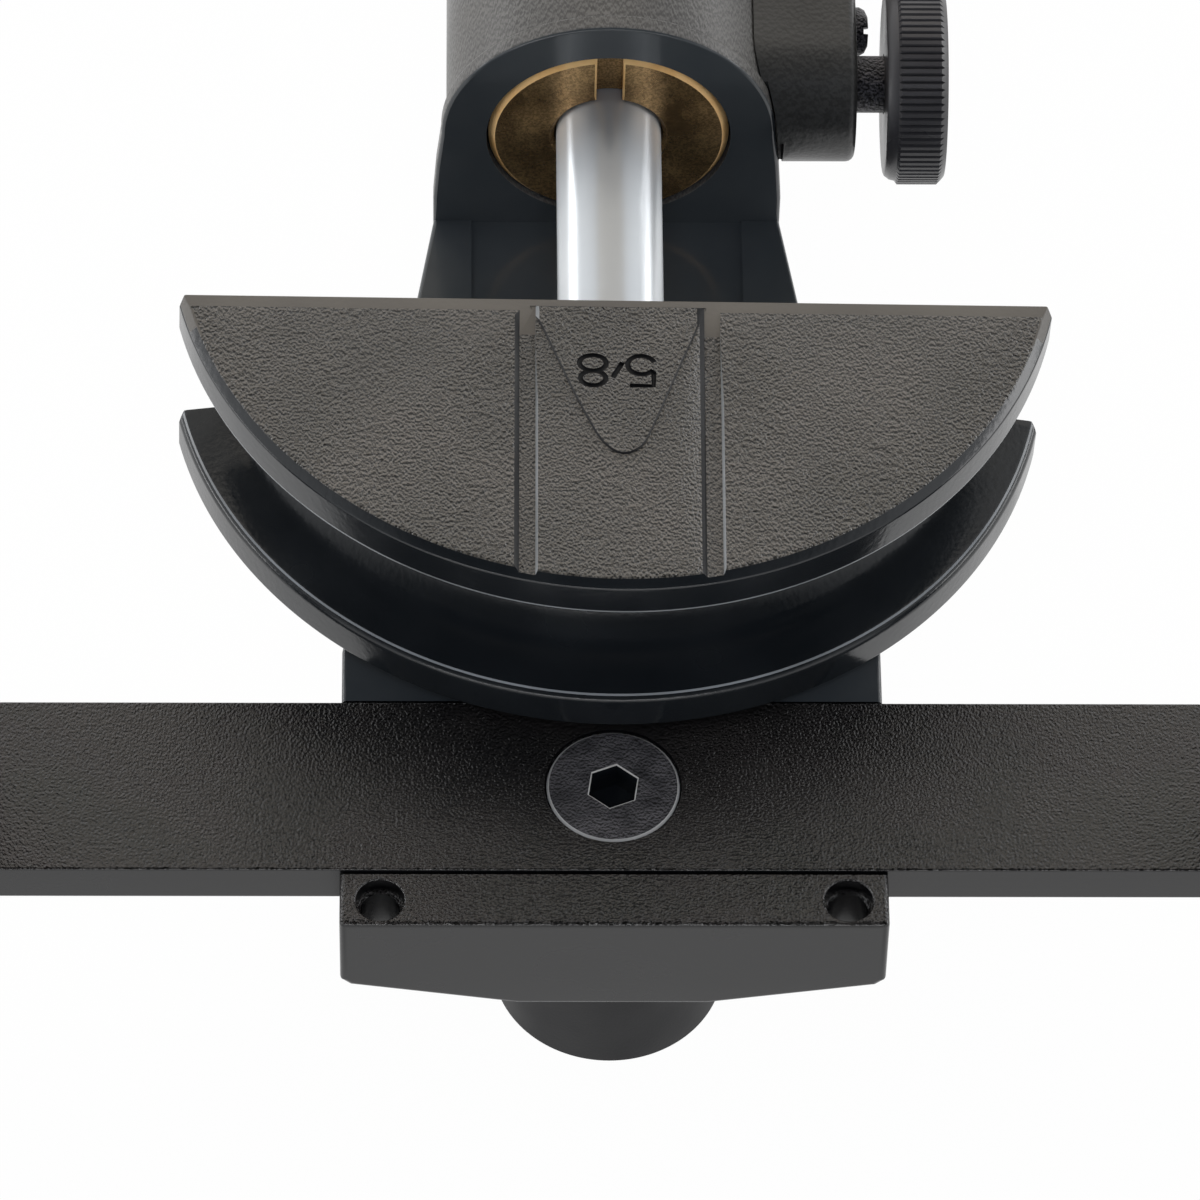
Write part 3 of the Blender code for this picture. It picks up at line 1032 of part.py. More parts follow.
def roller_set(label, sign, metal, steel, bronze):
    """Grooved roller on a bronze bush, a washer under it and a drop-in pin through the crossbar."""
    base = Vector((sign * ROLLER_X, 0, 0))
    pin = PIN_DIAMETER / 2
    bush_inner = pin + GAP
    bush_outer = bush_inner + ROLLER_BUSH_WALL
    bore = bush_outer + GAP
    half = AXIS_Z - ROLLER_BOTTOM
    outline = roller_outline(half)
    profile = [(bore, -half)] + outline + [(bore, half)]
    middle = base + Z_AXIS * AXIS_Z
    part("roller_" + label, turned(profile, middle, Z_AXIS, ring=True), metal, middle)
    bush = ring_solid(bush_outer, bush_inner, middle - Z_AXIS * half, Z_AXIS, 2 * half, SMALL_ROUND)
    part("roller_bush_" + label, bush, bronze, middle)
    washer_low = base + Z_AXIS * (BAR_TOP + GAP)
    washer = ring_solid(WASHER_RADIUS, bush_inner, washer_low, Z_AXIS, WASHER_THICKNESS, SMALL_ROUND)
    part("washer_" + label, washer, steel)
    low = BAR_TOP - BAR_THICKNESS - PIN_BELOW_BAR
    head_low = ROLLER_TOP + GAP
    top = head_low + PIN_HEAD_HEIGHT
    head = PIN_HEAD_DIAMETER / 2
    chamfer = PIN_CHAMFER
    profile = [(0, low), (pin - chamfer, low), (pin, low + chamfer), (pin, head_low), (head, head_low)]
    profile += [(head, top - chamfer), (head - chamfer, top), (0, top)]
    part("roller_pin_" + label, turned(profile, base, Z_AXIS, SMALL_ROUND), steel, middle)


def roller_outline(half):
    """Outer line of a roller: plain rims and a half-round groove between them, as (radius, height)."""
    edge = BAR_BEVEL
    groove = GROOVE_RADIUS
    line = [(ROLLER_RADIUS - edge, -half), (ROLLER_RADIUS, -half + edge)]
    for radius, height in arc((ROLLER_RADIUS, 0), groove, 270, 90, ARC_STEPS + 2):
        line.append((radius, height))
    line += [(ROLLER_RADIUS, half - edge), (ROLLER_RADIUS - edge, half)]
    return line


def build():
    clear_scene()
    textured = finish("textured black coating", "#37352f", 0.55, 0.0)
    gloss = finish("gloss black paint", "#15191b", 0.18, 0.0)
    satin = finish("satin black coating", "#2c2d30", 0.40, 0.0)
    chrome = finish("hard chrome", "#d4d6d8", 0.08, 1.0)
    oxide = finish("black oxide steel", "#2a2829", 0.32, 0.8)
    steel = finish("bright steel", "#b4b4b2", 0.30, 1.0)
    bronze = finish("bearing bronze", "#b88a4c", 0.30, 1.0)
    brass = finish("turned brass", "#c9a250", 0.28, 1.0)
    rubber = finish("seal rubber", "#17171a", 0.75, 0.0)
    grip = finish("rubber grip", "#1d1d20", 0.70, 0.0)
    knob = finish("black knob moulding", "#1b1a1c", 0.35, 0.0)
    yoke_frame(gloss)
    bench_stub(satin)
    crossbar(textured)
    crossbar_bolt(oxide)
    former(textured)
    ram_rod(chrome)
    ram_details(steel, rubber)
    gland(bronze, rubber)
    cylinder_barrel(gloss)
    pump_body(gloss)
    pump_details(oxide, rubber, brass)
    pump_plunger(chrome)
    link_pin(steel)
    pivot_pin(oxide)
    pump_lever(gloss, oxide, grip)
    reservoir(gloss, rubber, grip, satin, brass)
    valve_block(gloss)
    release_valve(oxide, knob, rubber)
    plug_screw(oxide)
    for label, sign in (("left", -1), ("right", 1)):
        roller_set(label, sign, satin, steel, bronze)


build()
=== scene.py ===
import math

import bmesh
import bpy
from mathutils import Matrix, Vector


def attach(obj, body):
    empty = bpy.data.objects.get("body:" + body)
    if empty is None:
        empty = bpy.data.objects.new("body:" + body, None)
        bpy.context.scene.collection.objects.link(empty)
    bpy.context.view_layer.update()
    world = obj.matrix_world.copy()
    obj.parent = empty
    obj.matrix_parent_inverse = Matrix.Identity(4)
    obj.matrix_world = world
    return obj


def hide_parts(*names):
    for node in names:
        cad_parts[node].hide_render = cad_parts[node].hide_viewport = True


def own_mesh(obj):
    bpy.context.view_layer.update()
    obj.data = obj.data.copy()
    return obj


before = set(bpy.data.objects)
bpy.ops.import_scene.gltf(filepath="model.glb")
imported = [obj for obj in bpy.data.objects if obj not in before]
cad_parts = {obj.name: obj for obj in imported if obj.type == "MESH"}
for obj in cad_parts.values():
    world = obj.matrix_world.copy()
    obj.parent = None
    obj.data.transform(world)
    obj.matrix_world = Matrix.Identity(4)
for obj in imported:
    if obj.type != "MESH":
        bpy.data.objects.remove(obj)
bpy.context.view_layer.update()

X = Vector((1, 0, 0))
Y = Vector((0, 1, 0))
Z = Vector((0, 0, 1))
MM = 0.001

# Heights and stations of the CAD model
AXIS = 67.2
BAR_TOP = 47.3
BLOCK_TOP = 46.8
HEAD_FACE = 106.6
HEAD_END = 150.0
PUMP_FRONT = 292.6
PUMP_END = 340.6
RESERVOIR_FRONT = 340.9
CAP_FRONT = 501.2
DECK = 94.2
NOSE = Vector((0, 37.5, AXIS))
VALVE = Vector((0, 117.1, AXIS))
PLUG = Vector((0, 127.6, AXIS))
PLUNGER = Vector((0, 325.6, 108.4))
PIVOT = Vector((0, 303.6, 108.4))
TILT = math.radians(14)
LEVER_LINE = Vector((0, math.cos(TILT), math.sin(TILT)))

# Radii that several pieces share: the ram, a groove for 5/8 tube, the barrel and its housing, clear holes
RAM = 8
GROOVE = 8.15
BARREL = 24.7
BOLT_HOLE = 5.3
FULCRUM_HOLE = 4.3

# The former: reach of its rims from the centre, half its thickness, its edges, its top and its rear face
REACH = 66.2
HALF = 18.05
EDGE = 1.3
TOP = AXIS + HALF
REAR = 61.1
CENTRE = Vector((0, 74.9, AXIS))

# Stations across the crossbar, and of the pump's cover screws
PIN_X = 116
SPARE_X = 146
SCREW_X = 15.5
SCREW_LEVELS = (19.5, 37.7)

# A finish: where on its noise it drifts from dark to pale and from smooth to dull, and its noises' detail
SHADE_DRIFT = (0.35, 0.68)
SHEEN_DRIFT = (0.3, 0.7)
CLOUD_DETAIL = 3
GRAIN_DETAIL = 1.5
# The slope of a grain, which sets its painted shade and highlight, is taken over this share of it, and is
# full at this rise
SLOPE_RUN = 0.4
SLOPE_FULL = 0.12

# Edges that turn by more than this stay sharp in the shading
SHARP = math.radians(38)

# The photo's camera: its angles in degrees, its lens in the photo's pixels and its place in metres
CAMERA_ANGLES = (53.779, 1.732, 1.509)
FOCAL_PIXELS = 8508.4
PHOTO_PIXELS = 1200
SENSOR = 36
CAMERA_PLACE = (-0.024301, -0.715732, 1.070974)

# The studio: how far the ceiling reaches aside, the height where it starts, its panels and their light
CEILING_SIDE = (0.34, 0.46)
CEILING_START = (0.42, 0.60)
PANEL_ROWS = 30.0
PANEL_EDGE = 0.3
PANEL_LIGHT = (0.25, 1.55)
# The dark place where the camera stands: its direction, where it starts and is full, and the light
# outside and in it
CAMERA_WAY = (0, -0.59, 0.81)
DARK_START, DARK_FULL = 0.50, 0.82
OPEN_LIGHT, DARK_LIGHT = 1.0, 0.05
# The floor: share of plain white in what the camera and mirrors see, its half width and its drop, in metres
FLOOR_WHITE = 0.98
FLOOR_HALF = 6
FLOOR_DROP = 0.0005
# Lamps: name, place, aim, size, power, tint, and whether metal mirrors the lamp
LAMPS = (
    ("back_softbox", (-0.2, 1.3, 1.4), (0, 0.1, 0), (1.0, 1.0), 14, "#fff4e6", False),
    ("left_strip", (-1.5, 0.5, 0.24), (0, 0.1, 0.06), (1.8, 0.24), 7, "#ffffff", True),
    ("right_strip", (1.5, 0.5, 0.3), (0, 0.1, 0.06), (1.8, 0.3), 7, "#ffffff", True),
    ("front_strip", (-0.2, -1.5, 0.26), (0, 0.1, 0.06), (1.8, 0.12), 4, "#ffffff", True),
    ("front_fill", (0, -0.8, 1.25), (0, 0.1, 0.05), (0.5, 0.5), 5, "#e4eeff", False),
)


def colour(code):
    """Linear colour of an sRGB hex value."""
    linear = []
    for index in (1, 3, 5):
        value = int(code[index:index + 2], 16) / 255
        linear.append(value / 12.92 if value <= 0.04045 else ((value + 0.055) / 1.055) ** 2.4)
    return (*linear, 1)


def put(tree, kind, inputs=None, **settings):
    """Adds one node. A socket given as an input is linked, and any other value is set on the input."""
    node = tree.nodes.new(kind)
    for key, value in settings.items():
        setattr(node, key, value)
    for key, value in (inputs or {}).items():
        if isinstance(value, bpy.types.NodeSocket):
            tree.links.new(value, node.inputs[key])
        else:
            node.inputs[key].default_value = value
    return node


def span(source, target):
    """Inputs of a Map Range node that brings one pair of limits to another."""
    return {"From Min": source[0], "From Max": source[1], "To Min": target[0], "To Max": target[1]}


def finish(name, dark, pale, roughness, grain, relief, stretch=(1, 1, 1), metallic=0, patch=18,
           spread=0.08, slope_shade=0, mirror=0.5):
    """A finish that drifts between two shades over patches, with a grain raised by a relief.

    Patch, grain and relief are in millimetres, and spread is how far the roughness drifts. Slope shade is
    the share by which the grain's colour is painted darker on its slopes that face the front and paler on
    those that
    face the rear: painted shade and highlight standing in for raking light. Mirror is the coat's specular
    level.
    """
    material = bpy.data.materials.new(name)
    material.use_nodes = True
    tree = material.node_tree
    shader = tree.nodes["Principled BSDF"]
    shader.inputs["Metallic"].default_value = metallic
    shader.inputs["Specular IOR Level"].default_value = mirror
    place = put(tree, "ShaderNodeTexCoord").outputs["Object"]
    patches = {"Scale": 1 / (patch * MM), "Detail": CLOUD_DETAIL}
    cloud = put(tree, "ShaderNodeTexNoise", {"Vector": place, **patches})
    drift = put(tree, "ShaderNodeValToRGB", {"Fac": cloud.outputs["Fac"]})
    for element, position, code in zip(drift.color_ramp.elements, SHADE_DRIFT, (dark, pale)):
        element.position = position
        element.color = colour(code)
    laid = put(tree, "ShaderNodeMapping", {"Vector": place, "Scale": stretch})
    grains = {"Scale": 1 / (grain * MM), "Detail": GRAIN_DETAIL}
    fine = put(tree, "ShaderNodeTexNoise", {"Vector": laid.outputs["Vector"], **grains})
    tone = drift.outputs["Color"]
    # Painted shade and highlight: the colour darkens on grain slopes that face the front and pales on those
    # that face the rear
    if slope_shade:
        run = (0, SLOPE_RUN * grain * MM, 0)
        ahead = put(tree, "ShaderNodeMapping", {"Vector": place, "Scale": stretch, "Location": run})
        rise = put(tree, "ShaderNodeTexNoise", {"Vector": ahead.outputs["Vector"], **grains})
        heights = {0: fine.outputs["Fac"], 1: rise.outputs["Fac"]}
        slope = put(tree, "ShaderNodeMath", heights, operation="SUBTRACT")
        limits = span((-SLOPE_FULL, SLOPE_FULL), (1 - slope_shade, 1 + slope_shade))
        shade = put(tree, "ShaderNodeMapRange", {"Value": slope.outputs[0], **limits})
        toned = put(tree, "ShaderNodeHueSaturation", {"Color": tone, "Value": shade.outputs["Result"]})
        tone = toned.outputs["Color"]
    tree.links.new(tone, shader.inputs["Base Color"])
    limits = span(SHEEN_DRIFT, (roughness - spread, roughness + spread))
    sheen = put(tree, "ShaderNodeMapRange", {"Value": cloud.outputs["Fac"], **limits})
    tree.links.new(sheen.outputs["Result"], shader.inputs["Roughness"])
    height = {"Height": fine.outputs["Fac"], "Strength": 1, "Distance": relief * MM}
    raised = put(tree, "ShaderNodeBump", height)
    tree.links.new(raised.outputs["Normal"], shader.inputs["Normal"])
    return material


# Black wrinkle powder coat on the former, stoved: a warm dark grey skin, pebbled in blobs along the bar,
# with painted shade and highlight on its grain's slopes
wrinkle = finish("wrinkle_powder_coat", "#3a3732", "#47433e", 0.28, 0.50, 0.36, (1.3, 1, 1),
                 slope_shade=0.95, mirror=0.8)
# The sand-grained powder coat of the bar and the block's top: finer and blacker, with crests that glint,
# and painted shade and highlight on its grain's slopes
sanded = finish("sanded_powder_coat", "#191818", "#242120", 0.20, 0.46, 0.22, (1.2, 1, 1),
                slope_shade=1.0, mirror=0.9)
# The wrinkle coat rubbed level along the former's rear edge: even, and painted a paler warm grey as a
# highlight
smooth_band_highlight = finish("smooth_band_highlight_powder_coat", "#4f4b46", "#5a5650", 0.42, 0.8, 0.03)
# The same coat painted near black as shade over the former's ground faces and rims and in the bolt's
# socket, with a soft sheen
painted_shade_coat = finish("painted_shade_powder_coat", "#16191c", "#1c1f22", 0.20, 0.9, 0.03)
# Black stoved enamel on a forging: glossy, with a faint orange peel
enamel = finish("stoved_enamel", "#3b3f42", "#434648", 0.13, 2.2, 0.02, spread=0.04)
# Enamel over the as-drawn tubes and the head: grained along the tube by the metal under it, with a little
# painted shade and highlight on the grain's slopes
grained = finish("grained_enamel", "#525150", "#5c5b59", 0.34, 0.36, 0.10, (1, 0.4, 1),
                 slope_shade=0.3, mirror=0.25)
# A fine light grey line painted along the former's rim edges and on its channel walls that face -X: a
# painted highlight
painted_edge_highlight = finish("painted_edge_highlight_coat", "#7c7f81", "#94979a", 0.40, 0.8, 0.01)
# Enamel on the valve casting: black, a little rough like the sand it was cast in, with a little painted
# shade and highlight on its grain's slopes
cast = finish("cast_enamel", "#2f2f2e", "#363635", 0.34, 0.7, 0.06, slope_shade=0.2)
# Satin black coat on the end block's front, the bar's sides, the rollers and the cap: even and near black
satin = finish("satin_coat", "#0a0a0c", "#0f0f11", 0.24, 0.5, 0.010, mirror=0.5)
# The same coat on the stub, duller from handling; on the former, painted shade in the engraved strokes, on
# the tongue's sides and on the channel walls that face +X
low_sheen_and_painted_shade = finish("low_sheen_and_painted_shade_coat", "#111113", "#161618", 0.55, 0.5, 0.02, mirror=0.3)
# Grinding lines and tool marks are too fine on the real metals to show in the render, so on the metals
# below they are drawn coarser.
# Hard chrome, ground and polished: a mirror with fine lines round the rod
chrome = finish("hard_chrome", "#dfe3e7", "#eaeef1", 0.36, 0.35, 0.003, (0.05, 1, 0.05), 0.75, spread=0.02)
# Black oxide on steel fasteners: a dull black that drifts in small patches, its grain painted darker on
# front slopes and paler on rear ones as shade and highlight
oxide = finish("black_oxide", "#3a393b", "#565456", 0.42, 0.42, 0.30, metallic=0.2, patch=3, slope_shade=0.9)
# Steel painted pale on the upward sloping faces round a fastener's rims: a painted highlight
painted_rim_highlight = finish("painted_rim_highlight_steel", "#cfccc8", "#e8e6e2", 0.46, 0.4, 0.01, metallic=0.2)
# Turned steel: bright, with fine tool marks
steel = finish("turned_steel", "#9c9b98", "#b6b5b2", 0.27, 0.3, 0.006, metallic=1)
# Turned bearing bronze: warm, a little dull, drifting in small patches, with a little painted shade and
# highlight on its grain's slopes
bronze = finish("turned_bronze", "#a08058", "#bd9b6c", 0.30, 0.35, 0.01, metallic=0.9, patch=6, slope_shade=0.3)
# The same bronze painted pale and golden on the spanner slot's edges and the outer rim: a painted highlight
bronze_painted_highlight = finish("bronze_painted_highlight", "#e0b070", "#efc88c", 0.45, 0.35, 0.01, metallic=0.4, patch=4)
# Turned brass: yellow and brighter than the bronze
brass = finish("turned_brass", "#b8933f", "#cfae5c", 0.22, 0.35, 0.005, metallic=1, patch=6)
# Nitrile rubber: matt black
rubber = finish("nitrile_rubber", "#141416", "#1c1c1f", 0.72, 0.5, 0.02)
# Moulded rubber grip: matt, a little dusty grey on its ribs
grip = finish("moulded_grip", "#17171a", "#222226", 0.66, 0.6, 0.03)
# Blackened steel, turned, on the knob and the lever's pipe: smooth and dark grey, with a satin sheen
knob_black = finish("blackened_knob", "#363537", "#434244", 0.30, 0.5, 0.008)


def brushed(material, share, centre, lines):
    """Draws mirror images out along the lines that start at a centre, across the tool marks."""
    tree = material.node_tree
    shader = tree.nodes["Principled BSDF"]
    shader.inputs["Anisotropic"].default_value = share
    place = put(tree, "ShaderNodeTexCoord").outputs["Object"]
    away = put(tree, "ShaderNodeVectorMath", {0: place, 1: centre * MM}, operation="SUBTRACT")
    line = put(tree, "ShaderNodeVectorMath", {0: away.outputs["Vector"], 1: lines}, operation="MULTIPLY")
    tree.links.new(line.outputs["Vector"], shader.inputs["Tangent"])


# The rod is ground round and round, so its mirror images run along it, from a centre a metre ahead of it.
# The bush is turned, so they run outward.
brushed(chrome, 0.96, Vector((0, -1000, 0)), Y)
brushed(bronze, 0.85, Vector((0, 0, AXIS)), X + Z)


def laid_out(mesh, start, axis):
    """Turns a shape that stands on Z to lie along an axis, from a start."""
    turn = Z.rotation_difference(axis).to_matrix().to_4x4()
    mesh.transform(Matrix.Translation(start) @ turn)
    return mesh


def lathe(profile, start, axis, steps=96, ring=False):
    """A turned shape. A ring's profile is closed, and any other starts and ends on the axis."""
    mesh = bmesh.new()
    points = [mesh.verts.new((radius, 0, run)) for radius, run in profile]
    ends = points[1:] + points[:1] if ring else points[1:]
    for first, second in zip(points, ends):
        mesh.edges.new((first, second))
    line = mesh.verts[:] + mesh.edges[:]
    bmesh.ops.spin(mesh, geom=line, cent=(0, 0, 0), axis=Z, angle=math.tau, steps=steps, use_merge=True)
    bmesh.ops.remove_doubles(mesh, verts=mesh.verts[:], dist=0.0005)
    bmesh.ops.recalc_face_normals(mesh, faces=mesh.faces[:])
    return laid_out(mesh, start, axis)


def rod(radius, start, axis, length, edge=0, steps=64):
    """A round bar, with rounded ends where an edge is given."""
    profile = [(0, 0), (radius, 0), (radius, length), (0, length)]
    if edge:
        low = [(radius - edge, 0), (radius - edge * 0.3, edge * 0.3), (radius, edge)]
        high = [(width, length - run) for width, run in reversed(low)]
        profile = [(0, 0)] + low + high + [(0, length)]
    return lathe(profile, start, axis, steps)


def spot(first, second, axis, run):
    """Point of an outline that is drawn across an axis."""
    if axis == X:
        return (run, first, second)
    return (first, run, second) if axis == Y else (first, second, run)


def slab(outline, axis, low, high):
    """An outline pushed along X, Y or Z."""
    mesh = bmesh.new()
    face = mesh.faces.new([mesh.verts.new(spot(first, second, axis, low)) for first, second in outline])
    push(mesh, [face], axis * (high - low))
    return mesh


def push(mesh, faces, way):
    """Pushes faces out into a solid."""
    pushed = bmesh.ops.extrude_face_region(mesh, geom=faces)
    moved = [item for item in pushed["geom"] if isinstance(item, bmesh.types.BMVert)]
    bmesh.ops.translate(mesh, vec=way, verts=moved)
    bmesh.ops.recalc_face_normals(mesh, faces=mesh.faces[:])


def box(x, y, z):
    """A block between two limits on each axis."""
    return slab([(x[0], y[0]), (x[1], y[0]), (x[1], y[1]), (x[0], y[1])], Z, *z)


def arc(centre, radius, start, end, steps=16):
    """Points on an arc between two angles in degrees."""
    points = []
    for index in range(steps + 1):
        angle = math.radians(start + (end - start) * index / steps)
        points.append((centre[0] + radius * math.cos(angle), centre[1] + radius * math.sin(angle)))
    return points


def hexagon(across, centre, axis, low, high):
    """A hexagonal bar of a given width across its flats."""
    return slab(arc(centre, across / 2 / math.cos(math.pi / 6), 0, 300, 5), axis, low, high)


def wire(points, radius, rings, closed=False):
    """A round wire along points."""
    curve = bpy.data.curves.new("wire", "CURVE")
    curve.dimensions = "3D"
    curve.bevel_depth = radius
    curve.bevel_resolution = rings
    curve.use_fill_caps = True
    line = curve.splines.new("POLY")
    line.points.add(len(points) - 1)
    for item, point in zip(line.points, points):
        item.co = (*point, 1)
    line.use_cyclic_u = closed
    holder = bpy.data.objects.new("wire", curve)
    bpy.context.scene.collection.objects.link(holder)
    mesh = bmesh.new()
    mesh.from_mesh(holder.evaluated_get(bpy.context.evaluated_depsgraph_get()).to_mesh())
    bpy.data.objects.remove(holder)
    bpy.data.curves.remove(curve)
    return mesh


def soften(mesh, width, segments=3, angle=50, chosen=None):
    """Rounds the edges where faces meet at a steep angle, or the ones among them that are chosen."""
    steep = math.radians(angle)
    edges = [edge for edge in mesh.edges if len(edge.link_faces) == 2 and edge.calc_face_angle() > steep]
    if chosen:
        edges = [edge for edge in edges if chosen((edge.verts[0].co + edge.verts[1].co) / 2)]
    bmesh.ops.bevel(mesh, geom=edges, offset=width, affect="EDGES", segments=segments, profile=0.5,
                    material=-1)
    return mesh


def carve(mesh, tool, operation="DIFFERENCE"):
    """The mesh with a tool cut out of it, joined to it or kept in common with it."""
    pair = []
    for shape in (mesh, tool):
        data = bpy.data.meshes.new("shaping")
        shape.to_mesh(data)
        shape.free()
        pair.append(bpy.data.objects.new("shaping", data))
        bpy.context.scene.collection.objects.link(pair[-1])
    change = pair[0].modifiers.new("shaping", "BOOLEAN")
    change.object = pair[1]
    change.operation = operation
    change.solver = "EXACT"
    drawn = pair[0].evaluated_get(bpy.context.evaluated_depsgraph_get()).to_mesh()
    made = bmesh.new()
    made.from_mesh(drawn)
    for item in pair:
        data = item.data
        bpy.data.objects.remove(item)
        bpy.data.meshes.remove(data)
    return made


def join(mesh, *others):
    """One shape made of several."""
    for other in others:
        mesh = carve(mesh, other, "UNION")
    return mesh


def cut(mesh, *tools):
    """The mesh with tools cut out of it."""
    for tool in tools:
        mesh = carve(mesh, tool)
    return mesh


def piece(name, mesh, finishes, body, slot, *nodes):
    """Places a shape in the scene, to ride on a body in the place of its CAD nodes."""
    mesh.transform(Matrix.Scale(MM, 4))
    data = bpy.data.meshes.new(name)
    mesh.to_mesh(data)
    mesh.free()
    data.shade_smooth()
    data.set_sharp_from_angle(angle=SHARP)
    for one in finishes:
        data.materials.append(one)
    made = bpy.data.objects.new(name, data)
    bpy.context.scene.collection.objects.link(made)
    made.modifiers.new("even shading", "WEIGHTED_NORMAL").keep_sharp = True
    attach(made, body)
    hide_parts(*nodes)
    return made


def camera():
    """Camera at the photo's angle, fitted to its edges."""
    pitch, yaw, roll = (math.radians(angle) for angle in CAMERA_ANGLES)
    ahead = math.cos(pitch)
    forward = Vector((math.sin(yaw) * ahead, math.cos(yaw) * ahead, -math.sin(pitch)))
    level = Vector((math.cos(yaw), -math.sin(yaw), 0))
    raised = level.cross(forward)
    right = level * math.cos(roll) + raised * math.sin(roll)
    up = raised * math.cos(roll) - level * math.sin(roll)
    data = bpy.data.cameras.new("camera")
    data.sensor_width = SENSOR
    data.lens = SENSOR * FOCAL_PIXELS / PHOTO_PIXELS
    data.clip_start = 0.05
    data.clip_end = 20
    made = bpy.data.objects.new("camera", data)
    bpy.context.scene.collection.objects.link(made)
    turn = Matrix((right, up, -forward)).transposed().to_4x4()
    made.matrix_world = Matrix.Translation(CAMERA_PLACE) @ turn
    bpy.context.scene.camera = made


def lamp(name, place, aim, size, power, tint, mirrored):
    """A soft rectangular lamp. Its size is in metres and its power in watts."""
    data = bpy.data.lights.new(name, "AREA")
    data.shape = "RECTANGLE"
    data.size, data.size_y = size
    data.energy = power
    data.color = colour(tint)[:3]
    made = bpy.data.objects.new(name, data)
    made.location = place
    made.rotation_mode = "QUATERNION"
    made.rotation_quaternion = (Vector(aim) - Vector(place)).to_track_quat("-Z", "Y")
    made.visible_glossy = mirrored
    bpy.context.scene.collection.objects.link(made)


def sky():
    """White walls, and a warm grey ceiling with rows of panels that is dark where the camera stands."""
    world = bpy.data.worlds.new("studio")
    bpy.context.scene.world = world
    world.use_nodes = True
    tree = world.node_tree
    tree.nodes.clear()
    way = put(tree, "ShaderNodeTexCoord").outputs["Generated"]
    parts = put(tree, "ShaderNodeSeparateXYZ", {0: way})
    aside = put(tree, "ShaderNodeMath", {0: parts.outputs["X"]}, operation="ABSOLUTE")
    limits = span(CEILING_SIDE, (1, 0))
    middle = put(tree, "ShaderNodeMapRange", {"Value": aside.outputs[0], **limits})
    limits = span(CEILING_START, (0, 1))
    height = put(tree, "ShaderNodeMapRange", {"Value": parts.outputs["Z"], **limits})
    both = {0: middle.outputs["Result"], 1: height.outputs["Result"]}
    overhead = put(tree, "ShaderNodeMath", both, operation="MULTIPLY")
    wave = put(tree, "ShaderNodeMath", {0: parts.outputs["Z"], 1: PANEL_ROWS}, operation="MULTIPLY")
    rows = put(tree, "ShaderNodeMath", {0: wave.outputs[0]}, operation="SINE")
    limits = span((-PANEL_EDGE, PANEL_EDGE), PANEL_LIGHT)
    panels = put(tree, "ShaderNodeMapRange", {"Value": rows.outputs[0], **limits})
    grey = {0: colour("#dfd9d0")[:3], "Scale": panels.outputs["Result"]}
    ceiling = put(tree, "ShaderNodeVectorMath", grey, operation="SCALE")
    shades = {"Factor": overhead.outputs[0], "A": colour("#fbfdff"), "B": ceiling.outputs[0]}
    walls = put(tree, "ShaderNodeMix", shades, data_type="RGBA")
    toward = put(tree, "ShaderNodeVectorMath", {0: way, 1: CAMERA_WAY}, operation="DOT_PRODUCT")
    limits = span((DARK_START, DARK_FULL), (OPEN_LIGHT, DARK_LIGHT))
    dim = put(tree, "ShaderNodeMapRange", {"Value": toward.outputs["Value"], **limits})
    light = {"Color": walls.outputs["Result"], "Strength": dim.outputs["Result"]}
    lit = put(tree, "ShaderNodeBackground", light)
    put(tree, "ShaderNodeOutputWorld", {"Surface": lit.outputs["Background"]})


def sweep():
    """Pale floor, white to the camera and to mirrors, that keeps a faint shadow."""
    mesh = bmesh.new()
    bmesh.ops.create_grid(mesh, x_segments=1, y_segments=1, size=FLOOR_HALF)
    bmesh.ops.translate(mesh, vec=(0, 0, -FLOOR_DROP), verts=mesh.verts[:])
    data = bpy.data.meshes.new("floor")
    mesh.to_mesh(data)
    mesh.free()
    floor = bpy.data.objects.new("floor", data)
    bpy.context.scene.collection.objects.link(floor)
    paper = bpy.data.materials.new("white_sweep")
    paper.use_nodes = True
    tree = paper.node_tree
    tree.nodes.clear()
    ray = put(tree, "ShaderNodeLightPath")
    matt = put(tree, "ShaderNodeBsdfDiffuse", {"Color": colour("#f2f2f2")})
    glow = put(tree, "ShaderNodeEmission", {"Color": (1, 1, 1, 1), "Strength": 1})
    seen = {0: ray.outputs["Is Camera Ray"], 1: ray.outputs["Is Glossy Ray"]}
    mirror = put(tree, "ShaderNodeMath", seen, operation="ADD")
    seen = {0: mirror.outputs[0], 1: ray.outputs["Is Transmission Ray"]}
    both = put(tree, "ShaderNodeMath", seen, operation="ADD", use_clamp=True)
    share = put(tree, "ShaderNodeMath", {0: both.outputs[0], 1: FLOOR_WHITE}, operation="MULTIPLY")
    looks = {"Fac": share.outputs[0], 1: matt.outputs[0], 2: glow.outputs[0]}
    mixed = put(tree, "ShaderNodeMixShader", looks)
    put(tree, "ShaderNodeOutputMaterial", {"Surface": mixed.outputs[0]})
    data.materials.append(paper)


def studio():
    """Walls and ceiling, soft lamps and a floor."""
    sky()
    for row in LAMPS:
        lamp(*row)
    sweep()


